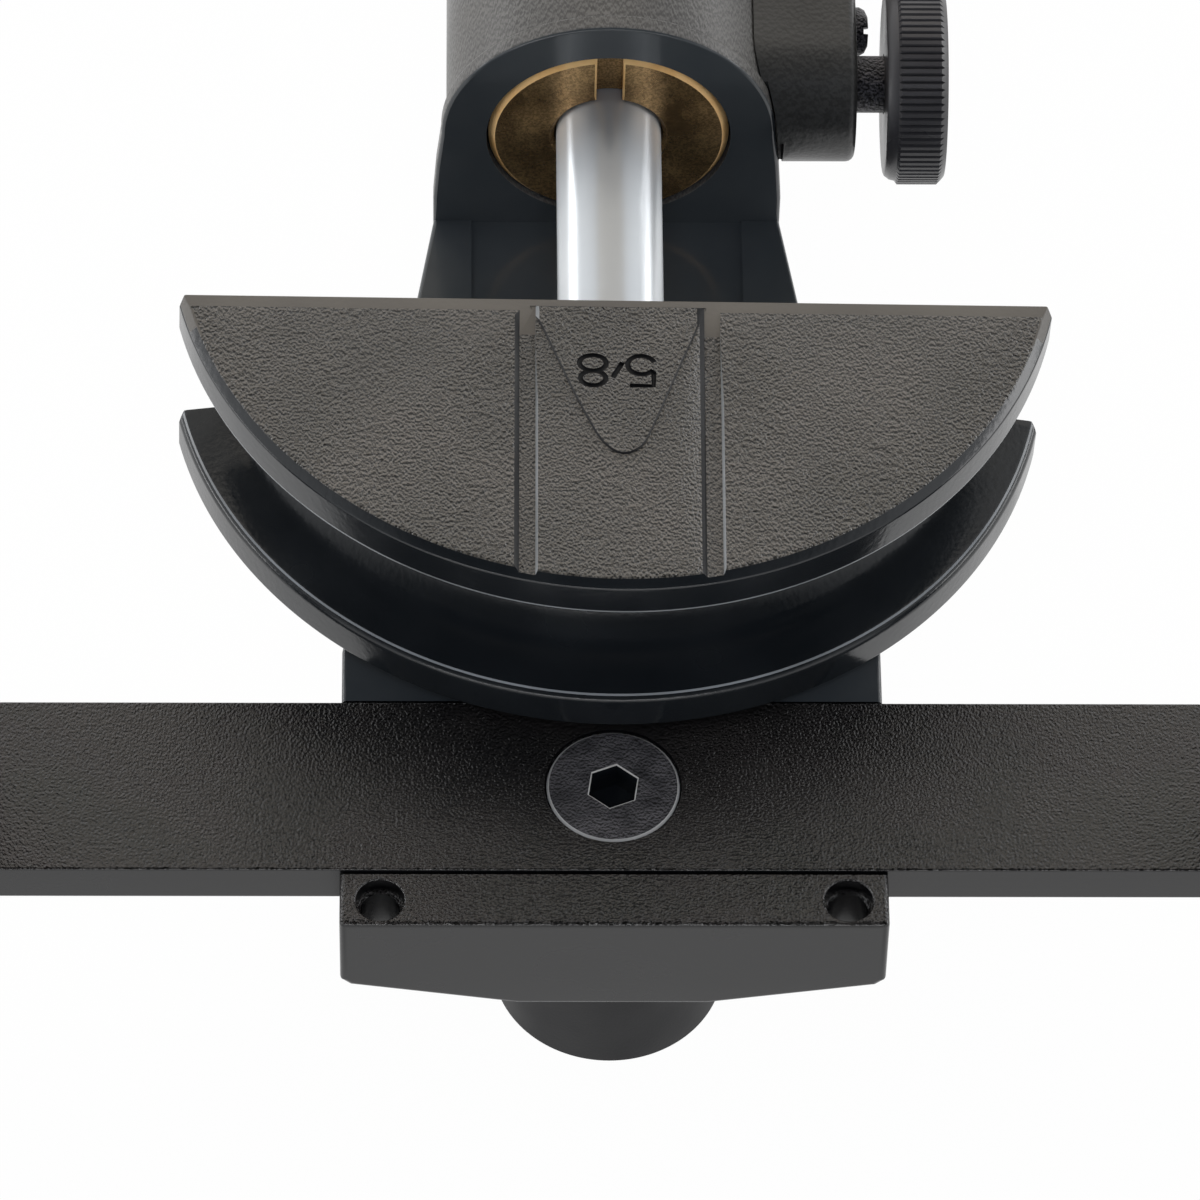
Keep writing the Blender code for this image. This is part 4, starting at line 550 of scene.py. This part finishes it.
def size_mark():
    """The strokes of 5/8, which reads upright from the pump's side."""
    width, middle = 0.42, Vector((-0.4, 47.4, 85.46))
    eight = [(math.cos(a) * 1.85, math.sin(a) * 1.35) for a in (math.tau * i / 28 for i in range(28))]
    upper = [(x, y + 1.45) for x, y in eight]
    lower = [(x * 1.06, y * 1.06 - 1.35) for x, y in eight]
    turns = (math.radians(150 - i * 12) for i in range(27))
    bowl = [(math.cos(a) * 2.0, math.sin(a) * 1.7 - 1.05) for a in turns]
    bar = [(1.75, 2.75), (-1.75, 2.75), (-1.8, 0.1)]
    slash = [(-0.75, -1.5), (0.75, 1.3)]
    marks = [(upper, True, 3.35), (lower, True, 3.35), (bowl, False, -3.75), (bar, False, -3.75)]
    marks.append((slash, False, -0.25))
    upright = Matrix.Translation(middle) @ Matrix.Rotation(math.pi, 4, "Z")
    tools = []
    for points, closed, shift in marks:
        tool = wire([(across, along, 0) for across, along in points], width, 3, closed)
        bmesh.ops.remove_doubles(tool, verts=tool.verts[:], dist=0.001)
        bmesh.ops.recalc_face_normals(tool, faces=tool.faces[:])
        tool.transform(upright @ Matrix.Translation((shift, 0, 0)))
        tools.append(tool)
    return tools


def half_moon():
    """The former's disc, cut off behind, with its groove and the socket for the ram's nose."""
    flank, bend, flare = 10.25, 60.3, 1.15
    low = [(0, -HALF), (REACH - EDGE, -HALF), (REACH, EDGE - HALF)]
    low += arc((REACH - EDGE, -flank - EDGE), EDGE, 0, 90, 6)
    bowl = [(width, run * flare) for width, run in arc((bend, 0), GROOVE, 270, 90, 28)]
    high = [(radius, -run) for radius, run in reversed(low)]
    mesh = lathe(low + bowl + high, CENTRE, Z, 240)
    tip = math.sqrt(REACH ** 2 - 14.1 ** 2)
    planes = [((0, REAR, 0), (0, 1, 0))]
    for side in (-1, 1):
        planes.append(((side * (tip - 1.0), REAR, 0), (side * 2, 1, 0)))
        planes.append(((0, 58.6, AXIS + side * HALF), (0, 0.4, side * 2.2)))
    for place, normal in planes:
        shape = mesh.verts[:] + mesh.edges[:] + mesh.faces[:]
        normal = Vector(normal).normalized()
        bmesh.ops.bisect_plane(mesh, geom=shape, plane_co=place, plane_no=normal, clear_outer=True)
        bmesh.ops.holes_fill(mesh, edges=[edge for edge in mesh.edges if edge.is_boundary], sides=0)
    bmesh.ops.recalc_face_normals(mesh, faces=mesh.faces[:])
    socket = [(0, 0), (8.3, 0), (8.3, 23.3), (9.5, 24.5), (9.5, 27), (0, 27)]
    mesh = cut(mesh, lathe(socket, Vector((0, 37.2, AXIS)), Y))
    return soften(mesh, 0.22, 2, 40, lambda where: math.hypot(where.x, where.z - AXIS) > 10)


def tongue():
    """The raised tongue on the former's top, which carries the size mark."""
    left = [(-12.8, 59.4), (-10.8, 54.5), (-8.8, 49.1), (-6.7, 43.5), (-5.1, 39.6), (-3.5, 36.0)]
    left += [(-2.5, 34.3), (-1.4, 33.1), (-0.5, 32.5)]
    right = [(0.4, 32.2), (1.5, 32.4), (2.5, 33.0), (3.2, 33.6), (3.9, 34.7), (5.0, 37.4), (6.3, 40.8)]
    right += [(7.9, 45.2), (9.5, 49.5), (11.1, 53.6), (13.1, 59.4)]
    raised = slab(left + right, Z, TOP - 1, TOP + 0.28)
    return soften(raised, 0.2, 1, 50, lambda where: where.z > TOP)


def channel(middle):
    """A shallow channel down the former's top: steep on its sides, run out behind and a little aslant."""
    front, deep = 6.0, TOP - 0.6
    ramp = [(front, TOP + 0.3), (front, deep), (54.5, deep), (59.3, TOP + 0.1), (59.3, TOP + 0.3)]
    tool = slab(ramp, X, middle - 2.5, middle + 1.5)
    for vert in tool.verts:
        if vert.co.z < TOP + 0.2:
            vert.co.x = middle + (0.95 if vert.co.x > middle else -1.4)
        vert.co.x += (vert.co.y - front) * 0.012
    return tool


def former():
    """Half-moon former. It stands a little rolled and turned on the ram's nose, as in the photo."""
    mesh = join(half_moon(), tongue())
    for middle in (-13.6, 13.6):
        mesh = cut(mesh, channel(middle))
    mesh = cut(mesh, *size_mark())
    # Painted light: shade (4) in the strokes, on the tongue's sides and on channel walls facing +X,
    # highlight (3) on walls facing -X and the rims' edges, highlight (2) on the rear band, and shade (1)
    # wherever the wrinkle coat (0) is not
    for face in mesh.faces:
        middle, normal = face.calc_center_median(), face.normal
        rise = abs(middle.z - AXIS)
        reach = math.hypot(middle.x, middle.y - CENTRE.y)
        in_channel = 11.5 < abs(middle.x) < 16.2 and middle.z > TOP - 0.7 and middle.y < 58.7
        wall = in_channel and 0.3 < abs(normal.x)
        in_mark = abs(middle.x + 0.4) < 6.6 and 43 < middle.y < 52
        engraved = in_mark and TOP - 0.6 < middle.z < TOP + 0.24
        side = abs(middle.x) < 13.2 and TOP < middle.z < TOP + 0.27 and abs(normal.z) < 0.9
        low_line = middle.z < AXIS and 0.88 < normal.z < 0.96
        high_line = middle.z > AXIS and -0.2 < normal.z < -0.05
        behind = middle.y > 58.7 or normal.y < -0.05 and middle.y > 54
        if engraved or side or (wall and normal.x > 0):
            face.material_index = 4
        elif wall or (reach > REACH - EDGE and (low_line or high_line)):
            face.material_index = 3
        elif rise > HALF - 0.8 and behind:
            face.material_index = 2
        elif rise > HALF - 0.8 and reach < REACH - EDGE + 0.1:
            face.material_index = 0
        else:
            face.material_index = 1
    lean = Matrix.Rotation(math.radians(0.38), 4, "Z") @ Matrix.Rotation(math.radians(1.5), 4, "Y")
    mesh.transform(Matrix.Translation(NOSE + X * 0.2) @ lean @ Matrix.Translation(-NOSE))
    finishes = (wrinkle, painted_shade_coat, smooth_band_highlight, painted_edge_highlight, low_sheen_and_painted_shade)
    piece("former_shoe", mesh, finishes, "former", "textured_coating", "former")


def yoke():
    """End block, flared plate and head, whose flange stands out round the housing behind it."""
    half, front, rear, foot, neck, low = 40, -24.3, 24.8, 26.7, 24.4, 32.6
    flange = HEAD_FACE + 3.0
    plan = [(-half, front), (half, front), (half, rear), (foot, HEAD_FACE), (foot, flange), (neck, flange)]
    plan += [(neck, HEAD_END), (-neck, HEAD_END), (-neck, flange), (-foot, flange), (-foot, HEAD_FACE)]
    plan.append((-half, rear))
    mesh = soften(slab(plan, Z, 31.8, BLOCK_TOP), 0.7, 3)
    section = [(-half, BLOCK_TOP), (-half, 31.9), (-38.6, 30.5), (-14, 25.7), (14, 25.7), (38.6, 30.5)]
    section += [(half, 31.9), (half, BLOCK_TOP)]
    block = soften(slab(section, Y, front, rear), 1.1, 4)
    cheek = [(foot, low), (foot, 52.0), (26.2, 60.0)]
    arch = cheek + arc((0, AXIS), 25.5, 0, 180, 72) + [(-width, rise) for width, rise in reversed(cheek)]
    head = soften(slab(arch, Y, HEAD_FACE, flange), 0.6, 3, 60)
    housing = [(BARREL, low)] + arc((0, AXIS), BARREL, 0, 180, 72) + [(-BARREL, low)]
    mesh = join(mesh, block, head, slab(housing, Y, HEAD_FACE + 1.5, HEAD_END))
    bore = [(0, 0), (18.6, 0), (18.6, 29.7), (21.8, 29.7), (21.8, 47.4), (0, 47.4)]
    tools = [box((-42, 42), (-15.5, 15.5), (40.0, 49)), box((-20.8, 20.8), (33, HEAD_FACE), (46.4, 49))]
    tools.append(lathe(bore, Vector((0, HEAD_FACE - 2, AXIS)), Y))
    tools.append(rod(BOLT_HOLE, Vector((0, 0, 20)), Z, 30))
    hole = [(0, 0), (2.9, 0), (2.9, 20.3), (3.3, 20.7), (3.6, 20.7), (3.6, 22.9), (4.1, 23.4), (4.1, 25)]
    hole.append((0, 25))
    for side in (-1, 1):
        tools.append(lathe(hole, Vector((side * 34.1, -20, 23.7)), Z, 96))
    mesh = cut(mesh, *tools)
    for face in mesh.faces:
        middle = face.calc_center_median()
        normal = face.normal
        if middle.y < -14 and normal.z > 0.5:
            face.material_index = 0
        elif middle.y < 25 and normal.z < 0.5:
            face.material_index = 3
        elif middle.z > BLOCK_TOP + 1 and abs(normal.y) < 0.7:
            face.material_index = 2
        else:
            face.material_index = 1
    piece("yoke_forging", mesh, (sanded, enamel, grained, satin), "frame", "gloss_paint", "yoke_frame")


def stub():
    """Round stub under the end block, bored for the crossbar's bolt."""
    radius, height = 17.45, 25.4
    profile = [(0, 0), (17.2, 0), (17.4, 0.1), (radius, 0.3), (radius, height), (BOLT_HOLE, height)]
    profile += [(BOLT_HOLE, 6.4), (0, 6.4)]
    mesh = lathe(profile, Vector((0, 0, 0)), Z, 128)
    piece("stub_pin", mesh, (low_sheen_and_painted_shade,), "frame", "satin_coating", "bench_stub")


def bar():
    """Flat crossbar with a countersink for its bolt and four holes for roller pins."""
    mesh = soften(box((-160, 160), (-15, 15), (40.05, BAR_TOP)), 0.4, 3)
    sink = [(0, -2), (BOLT_HOLE, -2), (BOLT_HOLE, 1.5), (10.1, 6.3), (10.1, 9), (0, 9)]
    tools = [lathe(sink, Vector((0, 0, 40.3)), Z)]
    for place in (-SPARE_X, -PIN_X, PIN_X, SPARE_X):
        tools.append(rod(BOLT_HOLE, Vector((place, 0, 38)), Z, 12))
    mesh = cut(mesh, *tools)
    for face in mesh.faces:
        face.material_index = 0 if abs(face.normal.z) > 0.5 else 1
    piece("flat_bar", mesh, (sanded, satin), "frame", "textured_coating", "crossbar")


def bolt():
    """Countersunk bolt with a hexagon socket: a painted highlight round both rims, painted shade in the
    socket.
    """
    profile = [(0, 0), (4, 0), (5, 1), (5, 33.7), (9.8, 38.5), (9.8, 38.65), (9.45, 39), (0, 39)]
    mesh = lathe(profile, Vector((0, 0, 8.1)), Z, 96)
    key = hexagon(6.7, (0, 0), Z, 42.1, 49)
    key.transform(Matrix.Rotation(math.radians(22), 4, "Z"))
    mesh = cut(mesh, key)
    soften(mesh, 0.18, 2, 60, lambda where: where.z > 47 and math.hypot(where.x, where.y) < 5)
    # Painted highlight on the rims' upward sloping faces, painted shade inside the socket
    for face in mesh.faces:
        middle = face.calc_center_median()
        reach = math.hypot(middle.x, middle.y)
        bright = 0.3 < face.normal.z < 0.97 and middle.z > 46.7 and (reach > 9.4 or reach < 4.5)
        face.material_index = 1 if bright else 2 if reach < 4.2 else 0
    piece("countersunk_bolt", mesh, (oxide, painted_rim_highlight, painted_shade_coat), "frame", "black_oxide", "crossbar_bolt")


def ram():
    """Chromed rod with a groove for the nose's ring, and a thinner tail for the piston."""
    tail, step = 6, 183.0
    profile = [(0, 0), (6.8, 0), (7.6, 0.4), (RAM, 1.2), (RAM, 6.8), (6.2, 6.8), (6.2, 9.2), (RAM, 9.2)]
    profile += [(RAM, step), (tail, step), (tail, 208.3), (0, 208.3)]
    piece("chromed_ram", lathe(profile, NOSE, Y, 128), (chrome,), "ram", "hard_chrome", "ram_rod")


def bush():
    """Bronze bush in the head, with a spanner slot whose edges and the outer rim carry a painted highlight.
    """
    slot_half, outer = 1.95, 18.3
    profile = [(9.0, 0), (17.3, 0), (outer, 1.0), (outer, 27.7), (12.6, 27.7), (12.6, 21.9), (8.3, 21.9)]
    profile.append((8.3, 0.7))
    mesh = lathe(profile, Vector((0, HEAD_FACE, AXIS)), Y, 128, True)
    slot = box((-slot_half, slot_half), (HEAD_FACE - 2, HEAD_FACE + 2.7), (AXIS + 4, AXIS + 21))
    mesh = cut(mesh, slot)
    soften(mesh, 0.35, 2, 60,
           lambda where: abs(abs(where.x) - slot_half) < 0.01 and where.y < HEAD_FACE + 0.1)
    # Painted highlight: the paler bronze goes on the slot's edges and the front of the outer rim
    for face in mesh.faces:
        middle = face.calc_center_median()
        out = math.hypot(middle.x, middle.z - AXIS)
        lip = abs(abs(middle.x) - 2.1) < 0.3 and middle.z > AXIS + 8 and middle.y < HEAD_FACE + 0.5
        edge = lip and abs(face.normal.y) < 0.95
        face.material_index = 1 if edge or (out > 17.3 and middle.y < HEAD_FACE + 1) else 0
    piece("bronze_bush", mesh, (bronze, bronze_painted_highlight), "frame", "bearing_bronze", "gland_bush")


def barrel():
    """Pressure tube, with a spigot in front that stands inside the head."""
    spigot, bore, hole, length = 21.5, 18, 8.5, 157.7
    profile = [(hole, 0), (spigot, 0), (spigot, 15.7), (BARREL, 15.7), (BARREL, length), (bore, length)]
    profile += [(bore, 6), (hole, 6)]
    mesh = lathe(profile, Vector((0, 134.6, AXIS)), Y, 128, True)
    piece("pressure_barrel", mesh, (grained,), "frame", "gloss_paint", "cylinder_barrel")


def valve():
    """Valve casting on the right flank, cut to fit the head and barrel, with its stem and a domed plug."""
    half, rear, face = 11.8, 292.0, 105
    side = arc((VALVE.y, AXIS), half, 90, 270, 40) + [(rear, AXIS - half), (rear, AXIS + half)]
    mesh = soften(slab(side, X, 15, 37.7), 1.3, 4)
    front = Vector((0, face, AXIS))
    tools = [lathe([(0, 0), (25.0, 0), (25.0, 190), (0, 190)], front, Y, 128)]
    tools.append(lathe([(0, 0), (25.8, 0), (25.8, 4.9), (0, 4.9)], front, Y, 128))
    tools.append(box((0, 26.7), (face, 109.9), (43, AXIS)))
    tools.append(box((0, 25.0), (face, 150.6), (43, AXIS)))
    tools.append(rod(4.65, VALVE + X * 27.7, X, 14))
    tools.append(rod(3.0, PLUG + X * 30.4, X, 12))
    piece("valve_casting", cut(mesh, *tools), (cast,), "frame", "gloss_paint", "valve_block")
    radius, waist = 4.35, 2.6
    stem = [(0, 33.2), (radius, 33.2), (radius, 34.0), (waist, 34.0), (waist, 36.3), (radius, 36.3)]
    stem += [(radius, 49.8), (0, 49.8)]
    mesh = lathe(stem, VALVE, X, 64)
    piece("valve_stem", mesh, (oxide,), "release_valve", "black_oxide", "release_stem")
    knob()
    dome = [(0, 30.7), (2.7, 30.7), (2.7, 38.0), (3.75, 38.0), (3.75, 38.7), (3.3, 39.5), (2.3, 40.0)]
    dome.append((0, 40.2))
    plug = lathe(dome, PLUG, X, 64)
    notch = box((39.3, 41.3), (-0.5, 0.5), (-6, 6))
    notch.transform(Matrix.Translation(PLUG) @ Matrix.Rotation(math.radians(37), 4, "X"))
    piece("domed_plug", cut(plug, notch), (oxide,), "frame", "black_oxide", "plug_screw")


def knob():
    """Round knob with a straight knurl whose teeth run out in both chamfers, and the disc in its face."""
    crest, root, bore, length = 15.3, 14.75, 4.65, 9.2
    start = VALVE + X * 42.2
    mesh = bmesh.new()
    bmesh.ops.create_circle(mesh, cap_ends=True, radius=crest, segments=336)
    for index, vert in enumerate(mesh.verts):
        if index % 4 == 0:
            vert.co *= root / crest
    push(mesh, mesh.faces[:], (0, 0, length))
    laid_out(mesh, start, X)
    turned = [(bore, 0), (13.6, 0), (14.0, 0.15), (14.55, 0.9), (root, 1.7), (crest, 2.1), (crest, 8.1)]
    turned += [(14.6, 8.8), (14.1, length), (10.2, length), (9.8, 8.9), (9.6, 8.0), (bore, 8.0)]
    mesh = carve(mesh, lathe(turned, start, X, 128, True), "INTERSECT")
    piece("knurled_knob", mesh, (knob_black,), "release_valve", "knob_moulding", "release_knob")
    cap = rod(7, VALVE + X * 50.5, X, 1.0, 0.3)
    piece("knob_disc", cap, (oxide,), "release_valve", "knob_moulding", "knob_cap")


def pump():
    """Pump casting with its deck and ears, its rubber sole, cover screws, gland nut and valve caps."""
    foot, waist, shoulder = 30, 24, AXIS - 13.1
    cheek = [(foot, 3.3), (foot, 11.3), (waist, 19.3), (waist, shoulder)]
    mirrored = [(-width, rise) for width, rise in reversed(cheek)]
    outline = cheek + arc((0, AXIS), 26.2, 0, 180, 64) + mirrored
    mesh = soften(slab(outline, Y, PUMP_FRONT, PUMP_END), 1.4, 4, 60)
    deck = soften(box((-14.5, 14.5), (294.6, 335.4), (80.3, DECK)), 1.0, 3)
    ears = []
    for side in (-1, 1):
        ear = [(294.6, 80.3), (312.6, 80.3)] + arc((PIVOT.y, PIVOT.z), 9, 0, 180, 28)
        ears.append(soften(slab(ear, X, *sorted((side * 8.0, side * 14.0))), 0.7, 3, 60))
    mesh = join(mesh, deck, *ears)
    front_spigot = rod(17.7, Vector((0, 284.6, AXIS)), Y, 10)
    mesh = join(mesh, front_spigot, rod(18.2, Vector((0, 338.6, AXIS)), Y, 14))
    well = [(0, 0), (6.3, 0), (6.3, 49.9), (8.2, 49.9), (8.2, 62.2), (0, 62.2)]
    tools = [lathe(well, Vector((0, PLUNGER.y, 34)), Z, 64), rod(FULCRUM_HOLE, PIVOT - X * 16, X, 32)]
    for side in (-1, 1):
        tools.append(rod(4.0, Vector((side * 26, PLUNGER.y, 27)), -side * X, 23))
        for level in SCREW_LEVELS:
            tools.append(rod(2.8, Vector((side * SCREW_X, PUMP_END + 2, level)), -Y, 10.5, 0, 32))
    piece("pump_casting", cut(mesh, *tools), (enamel,), "frame", "gloss_paint", "pump_body")
    sole = soften(box((-28.5, 28.5), (294.1, 339.1), (0, 3)), 0.6, 3)
    ribs = [box((-30, 30), (y, y + 1.5), (-1, 0.8)) for y in range(299, 336, 5)]
    piece("rubber_sole", cut(sole, *ribs), (rubber,), "frame", "seal_rubber", "foot_pad")
    cover_screws()
    collar = [(6.3, -5), (7.9, -5), (7.9, 0.3), (9.8, 0.3), (9.8, 3.2), (9.2, 3.8), (6.3, 3.8)]
    nut = lathe(collar, Vector((0, PLUNGER.y, DECK)), Z, 64, True)
    piece("gland_nut", nut, (oxide,), "frame", "black_oxide", "plunger_gland")
    for label, side in (("suction", -1), ("delivery", 1)):
        valve_cap(label, side)


def cover_screws():
    """Four socket screws in the pump's rear face."""
    shank, head = 2.5, 4.25
    profile = [(0, -8.2), (shank, -8.2), (shank, 0.3), (head, 0.3), (head, 2.7), (3.95, 3.0), (0, 3.0)]
    number = 1
    for side in (-1, 1):
        for level in SCREW_LEVELS:
            screw = lathe(profile, Vector((side * SCREW_X, PUMP_END, level)), Y, 48)
            key = hexagon(4, (side * SCREW_X, level), Y, PUMP_END + 1.2, PUMP_END + 5)
            node = f"cover_screw_{number}"
            piece(f"socket_screw_{number}", cut(screw, key), (oxide,), "frame", "black_oxide", node)
            number += 1


def valve_cap(label, side):
    """Brass cap of a check valve, with a hexagonal head."""
    thread, head = 3.7, 6.0
    inner = Vector((side * 3.0, PLUNGER.y, 27))
    profile = [(0, 13), (thread, 13), (thread, 21.2), (head, 21.2), (head, 23.6), (5.3, 24.3), (0, 24.3)]
    plug = lathe(profile, inner, side * X, 64)
    flats = slab(arc((PLUNGER.y, 27), 5.9, 0, 300, 5), X, *sorted((side * 24.1, side * 28)))
    shank = lathe([(0, 10), (thread, 10), (thread, 21.25), (0, 21.25)], inner, side * X, 64)
    plug = join(carve(plug, flats, "INTERSECT"), shank)
    piece(f"{label}_cap", plug, (brass,), "frame", "turned_brass", f"{label}_plug")


def plunger():
    """Plunger with its eye, the cross pin in the eye, and the pin that the lever turns on."""
    mesh = rod(6, Vector((0, PLUNGER.y, 36)), Z, 62.8, 0.4)
    eye = [(PLUNGER.y - 5.5, 98.3), (PLUNGER.y + 5.5, 98.3)]
    eye += arc((PLUNGER.y, PLUNGER.z), 5.5, 0, 180, 32)
    mesh = join(mesh, soften(slab(eye, X, -3.8, 3.8), 0.4, 3, 60))
    mesh = cut(mesh, rod(3.3, PLUNGER - X * 6, X, 12))
    piece("plunger_rod", mesh, (chrome,), "plunger", "hard_chrome", "pump_plunger")
    pin = rod(3, PLUNGER - X * 7.4, X, 14.8, 0.4)
    piece("link_cross_pin", pin, (steel,), "plunger", "bright_steel", "link_pin")
    half = [(0, -16.3), (5.4, -16.3), (6, -15.7), (6, -14.3), (4, -14.3)]
    profile = half + [(radius, -run) for radius, run in reversed(half)]
    piece("fulcrum_pin", lathe(profile, PIVOT, X, 64), (oxide,), "frame", "black_oxide", "pivot_pin")


def lever():
    """Lever head with its socket, slot and pocket, the pipe in it and the pipe's ribbed sleeve."""
    half = 9
    across = Vector((0, -LEVER_LINE.z, LEVER_LINE.y))
    rear = PIVOT + LEVER_LINE * 53
    side = arc((PIVOT.y, PIVOT.z), half, 90, 270, 32) + [(PLUNGER.y + 9.5, PIVOT.z - half)]
    for corner in (rear - across * half, rear + across * half):
        side.append((corner.y, corner.z))
    side.append((PLUNGER.y, PIVOT.z + half))
    mesh = soften(slab(side, X, -7.7, 7.7), 0.7, 3, 60)
    mesh = join(mesh, rod(13.5, PIVOT + LEVER_LINE * 44, LEVER_LINE, 32, 0.8, 96))
    oval = arc((PLUNGER.y + 4.3, PIVOT.z), 3.9, -90, 90) + arc((PLUNGER.y - 0.9, PIVOT.z), 3.9, 90, 270)
    pocket = (316.1, 335.1)
    tools = [box((-4.3, 4.3), pocket, (90, 136)), box((-6.5, 6.5), pocket, (90, 103.3))]
    tools += [slab(oval, X, -10, 10), rod(FULCRUM_HOLE, PIVOT - X * 10, X, 20)]
    tools.append(rod(10.8, rear, LEVER_LINE, 26, 0, 96))
    piece("lever_head", cut(mesh, *tools), (enamel,), "lever", "gloss_paint", "pump_lever")
    start = rear + LEVER_LINE * 0.3
    tube = lathe([(8.5, 0), (10.5, 0), (10.5, 185), (8.5, 185)], start, LEVER_LINE, 96, True)
    piece("lever_pipe", tube, (knob_black,), "lever", "black_oxide", "lever_tube")
    bore, outer = 10.8, 14
    profile = [(bore, 83), (12.8, 83), (13.6, 83.6), (outer, 84.8)] + ribbed(outer, 91, 26, 3.1)
    profile += [(outer, 185.6), (13.2, 187.2), (11.6, 188), (0, 188), (0, 185.3), (bore, 185.3)]
    sleeve = lathe(profile, start, LEVER_LINE, 96, True)
    piece("lever_sleeve", sleeve, (grip,), "lever", "grip_rubber", "lever_grip")


def ribbed(radius, start, count, pitch):
    """Rings moulded round a grip."""
    line = []
    for index in range(count):
        run = start + index * pitch
        line += [(radius, run), (radius - 0.8, run + 0.5), (radius - 0.8, run + 1.2), (radius, run + 1.7)]
    return line


def reservoir():
    """Oil tube that is also the fixed handle, with its ribbed sleeve, end cap, filler cap and oil bag."""
    front = Vector((0, RESERVOIR_FRONT, AXIS))
    rear = Vector((0, CAP_FRONT, AXIS))
    outer = 21
    tube = lathe([(18.5, 0), (outer, 0), (outer, 160), (18.5, 160)], front, Y, 128, True)
    piece("oil_tube", tube, (grained,), "frame", "gloss_paint", "reservoir_tube")
    bore, grip_outer = 21.3, 24.5
    sleeve = [(bore, 46), (23.1, 46), (24.1, 46.6), (grip_outer, 47.8)] + ribbed(grip_outer, 53, 23, 4.2)
    sleeve += [(grip_outer, 152.2), (24.1, 153.4), (23.1, 154), (bore, 154)]
    sleeve = lathe(sleeve, front, Y, 128, True)
    piece("handle_sleeve", sleeve, (grip,), "frame", "grip_rubber", "handle_grip")
    cap = [(4.8, -9), (18.2, -9), (18.2, 0), (outer, 0), (outer, 4), (20.6, 4.5), (20.6, 5.5), (outer, 6)]
    cap += [(outer, 14.2), (19.2, 16), (4.8, 16)]
    cap = lathe(cap, rear, Y, 128, True)
    piece("tube_cap", cap, (satin,), "frame", "satin_coating", "reservoir_cap")
    screw = [(0, 6), (4.5, 6), (4.5, 16.3), (7, 16.3), (7, 19.7), (6.4, 20.3), (0, 20.3)]
    slot = box((-9, 9), (520.9, 523), (AXIS - 0.6, AXIS + 0.6))
    screw = cut(lathe(screw, rear, Y, 64), slot)
    piece("filler_cap", screw, (brass,), "frame", "turned_brass", "filler_plug")
    bag = arc((28.8, 0), 16.5, 180, 90, 12) + arc((115.8, 0), 16.5, 90, 0, 12)
    bag = [(width, run) for run, width in bag]
    bag[0], bag[-1] = (0, 12.3), (0, 132.3)
    piece("oil_bag", lathe(bag, front, Y, 64), (rubber,), "frame", "seal_rubber", "oil_bladder")


def rollers():
    """Both grooved rollers, each with its bronze sleeve, washer and drop-in pin."""
    half = AXIS - 49.4
    radius = 19
    line = [(7.7, -half), (18.4, -half), (18.85, -half + 0.2), (radius, -half + 0.7), (radius, -8.9)]
    line += [(18.8, -8.4), (18.3, -8.05)]
    bowl = arc((radius, 0), GROOVE, 262, 98, 24)
    profile = line + bowl + [(width, -run) for width, run in reversed(line)]
    bush_wall = [(BOLT_HOLE, -half), (7.3, -half), (7.3, half), (BOLT_HOLE, half)]
    washer = [(BOLT_HOLE, 0), (12.2, 0), (12.5, 0.3), (12.5, 1.2), (12.2, 1.5), (BOLT_HOLE, 1.5)]
    pin = [(0, 32.3), (4, 32.3), (5, 33.3), (5, 85.3), (8.6, 85.3), (9, 85.7), (9, 90.3), (8.4, 91.1)]
    pin += [(7.6, 91.3), (0, 91.3)]
    for label, side in (("left", -1), ("right", 1)):
        base = Vector((side * PIN_X, 0, 0))
        middle = base + Z * AXIS
        body = f"roller_{label}"
        wheel = lathe(profile, middle, Z, 128, True)
        piece(f"grooved_roller_{label}", wheel, (satin,), body, "satin_coating", f"roller_{label}")
        sleeve = lathe(bush_wall, middle, Z, 64, True)
        node = f"roller_bush_{label}"
        piece(f"bronze_sleeve_{label}", sleeve, (bronze,), body, "bearing_bronze", node)
        ring = lathe(washer, base + Z * 47.6, Z, 64, True)
        piece(f"steel_washer_{label}", ring, (steel,), "frame", "bright_steel", f"washer_{label}")
        drop_pin = lathe(pin, base, Z, 64)
        node = f"roller_pin_{label}"
        piece(f"drop_pin_{label}", drop_pin, (steel,), f"pin_{label}", "bright_steel", node)


def spring(name, radius, thickness, turns, start, axis, length, body, node):
    """A wound spring of round wire."""
    count = turns * 32
    turn = Z.rotation_difference(axis).to_matrix()
    points = []
    for index in range(count + 1):
        angle = math.tau * index / 32
        run = thickness / 2 + (length - thickness) * index / count
        points.append(start + turn @ Vector((radius * math.cos(angle), radius * math.sin(angle), run)))
    mesh = wire(points, thickness / 2, 4)
    return piece(name, mesh, (steel,), body, "bright_steel", node)


def springs():
    """The ram's return spring, which rides on the ram with a mesh of its own, and the check valves'
    springs.
    """
    start = Vector((0, 140.9, AXIS))
    main = spring("ram_spring", 13.2, 2.2, 8, start, Y, 79.6, "ram", "return_spring")
    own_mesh(main)
    for label, side in (("suction", -1), ("delivery", 1)):
        start = Vector((side * 9.6, PLUNGER.y, 27))
        spring(f"{label}_coil", 2.6, 0.8, 3, start, side * X, 6.1, "frame", f"{label}_spring")


def hidden_nodes():
    """Finishes of the CAD nodes that stay: pistons, seals and balls inside the housings."""
    for name in ("piston", "piston_nut", "suction_ball", "delivery_ball", "release_ball"):
        dress(name, steel)
    for name in ("piston_seal", "rod_seal", "nose_ring", "plunger_seal", "stem_seal"):
        dress(name, rubber)


def dress(name, material):
    """Gives a CAD node one finish."""
    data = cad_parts[name].data
    data.materials.clear()
    data.materials.append(material)


camera()
studio()
former()
yoke()
stub()
bar()
bolt()
ram()
bush()
barrel()
valve()
pump()
plunger()
lever()
reservoir()
rollers()
springs()
hidden_nodes()

bpy.context.scene.view_settings.view_transform = "Standard"
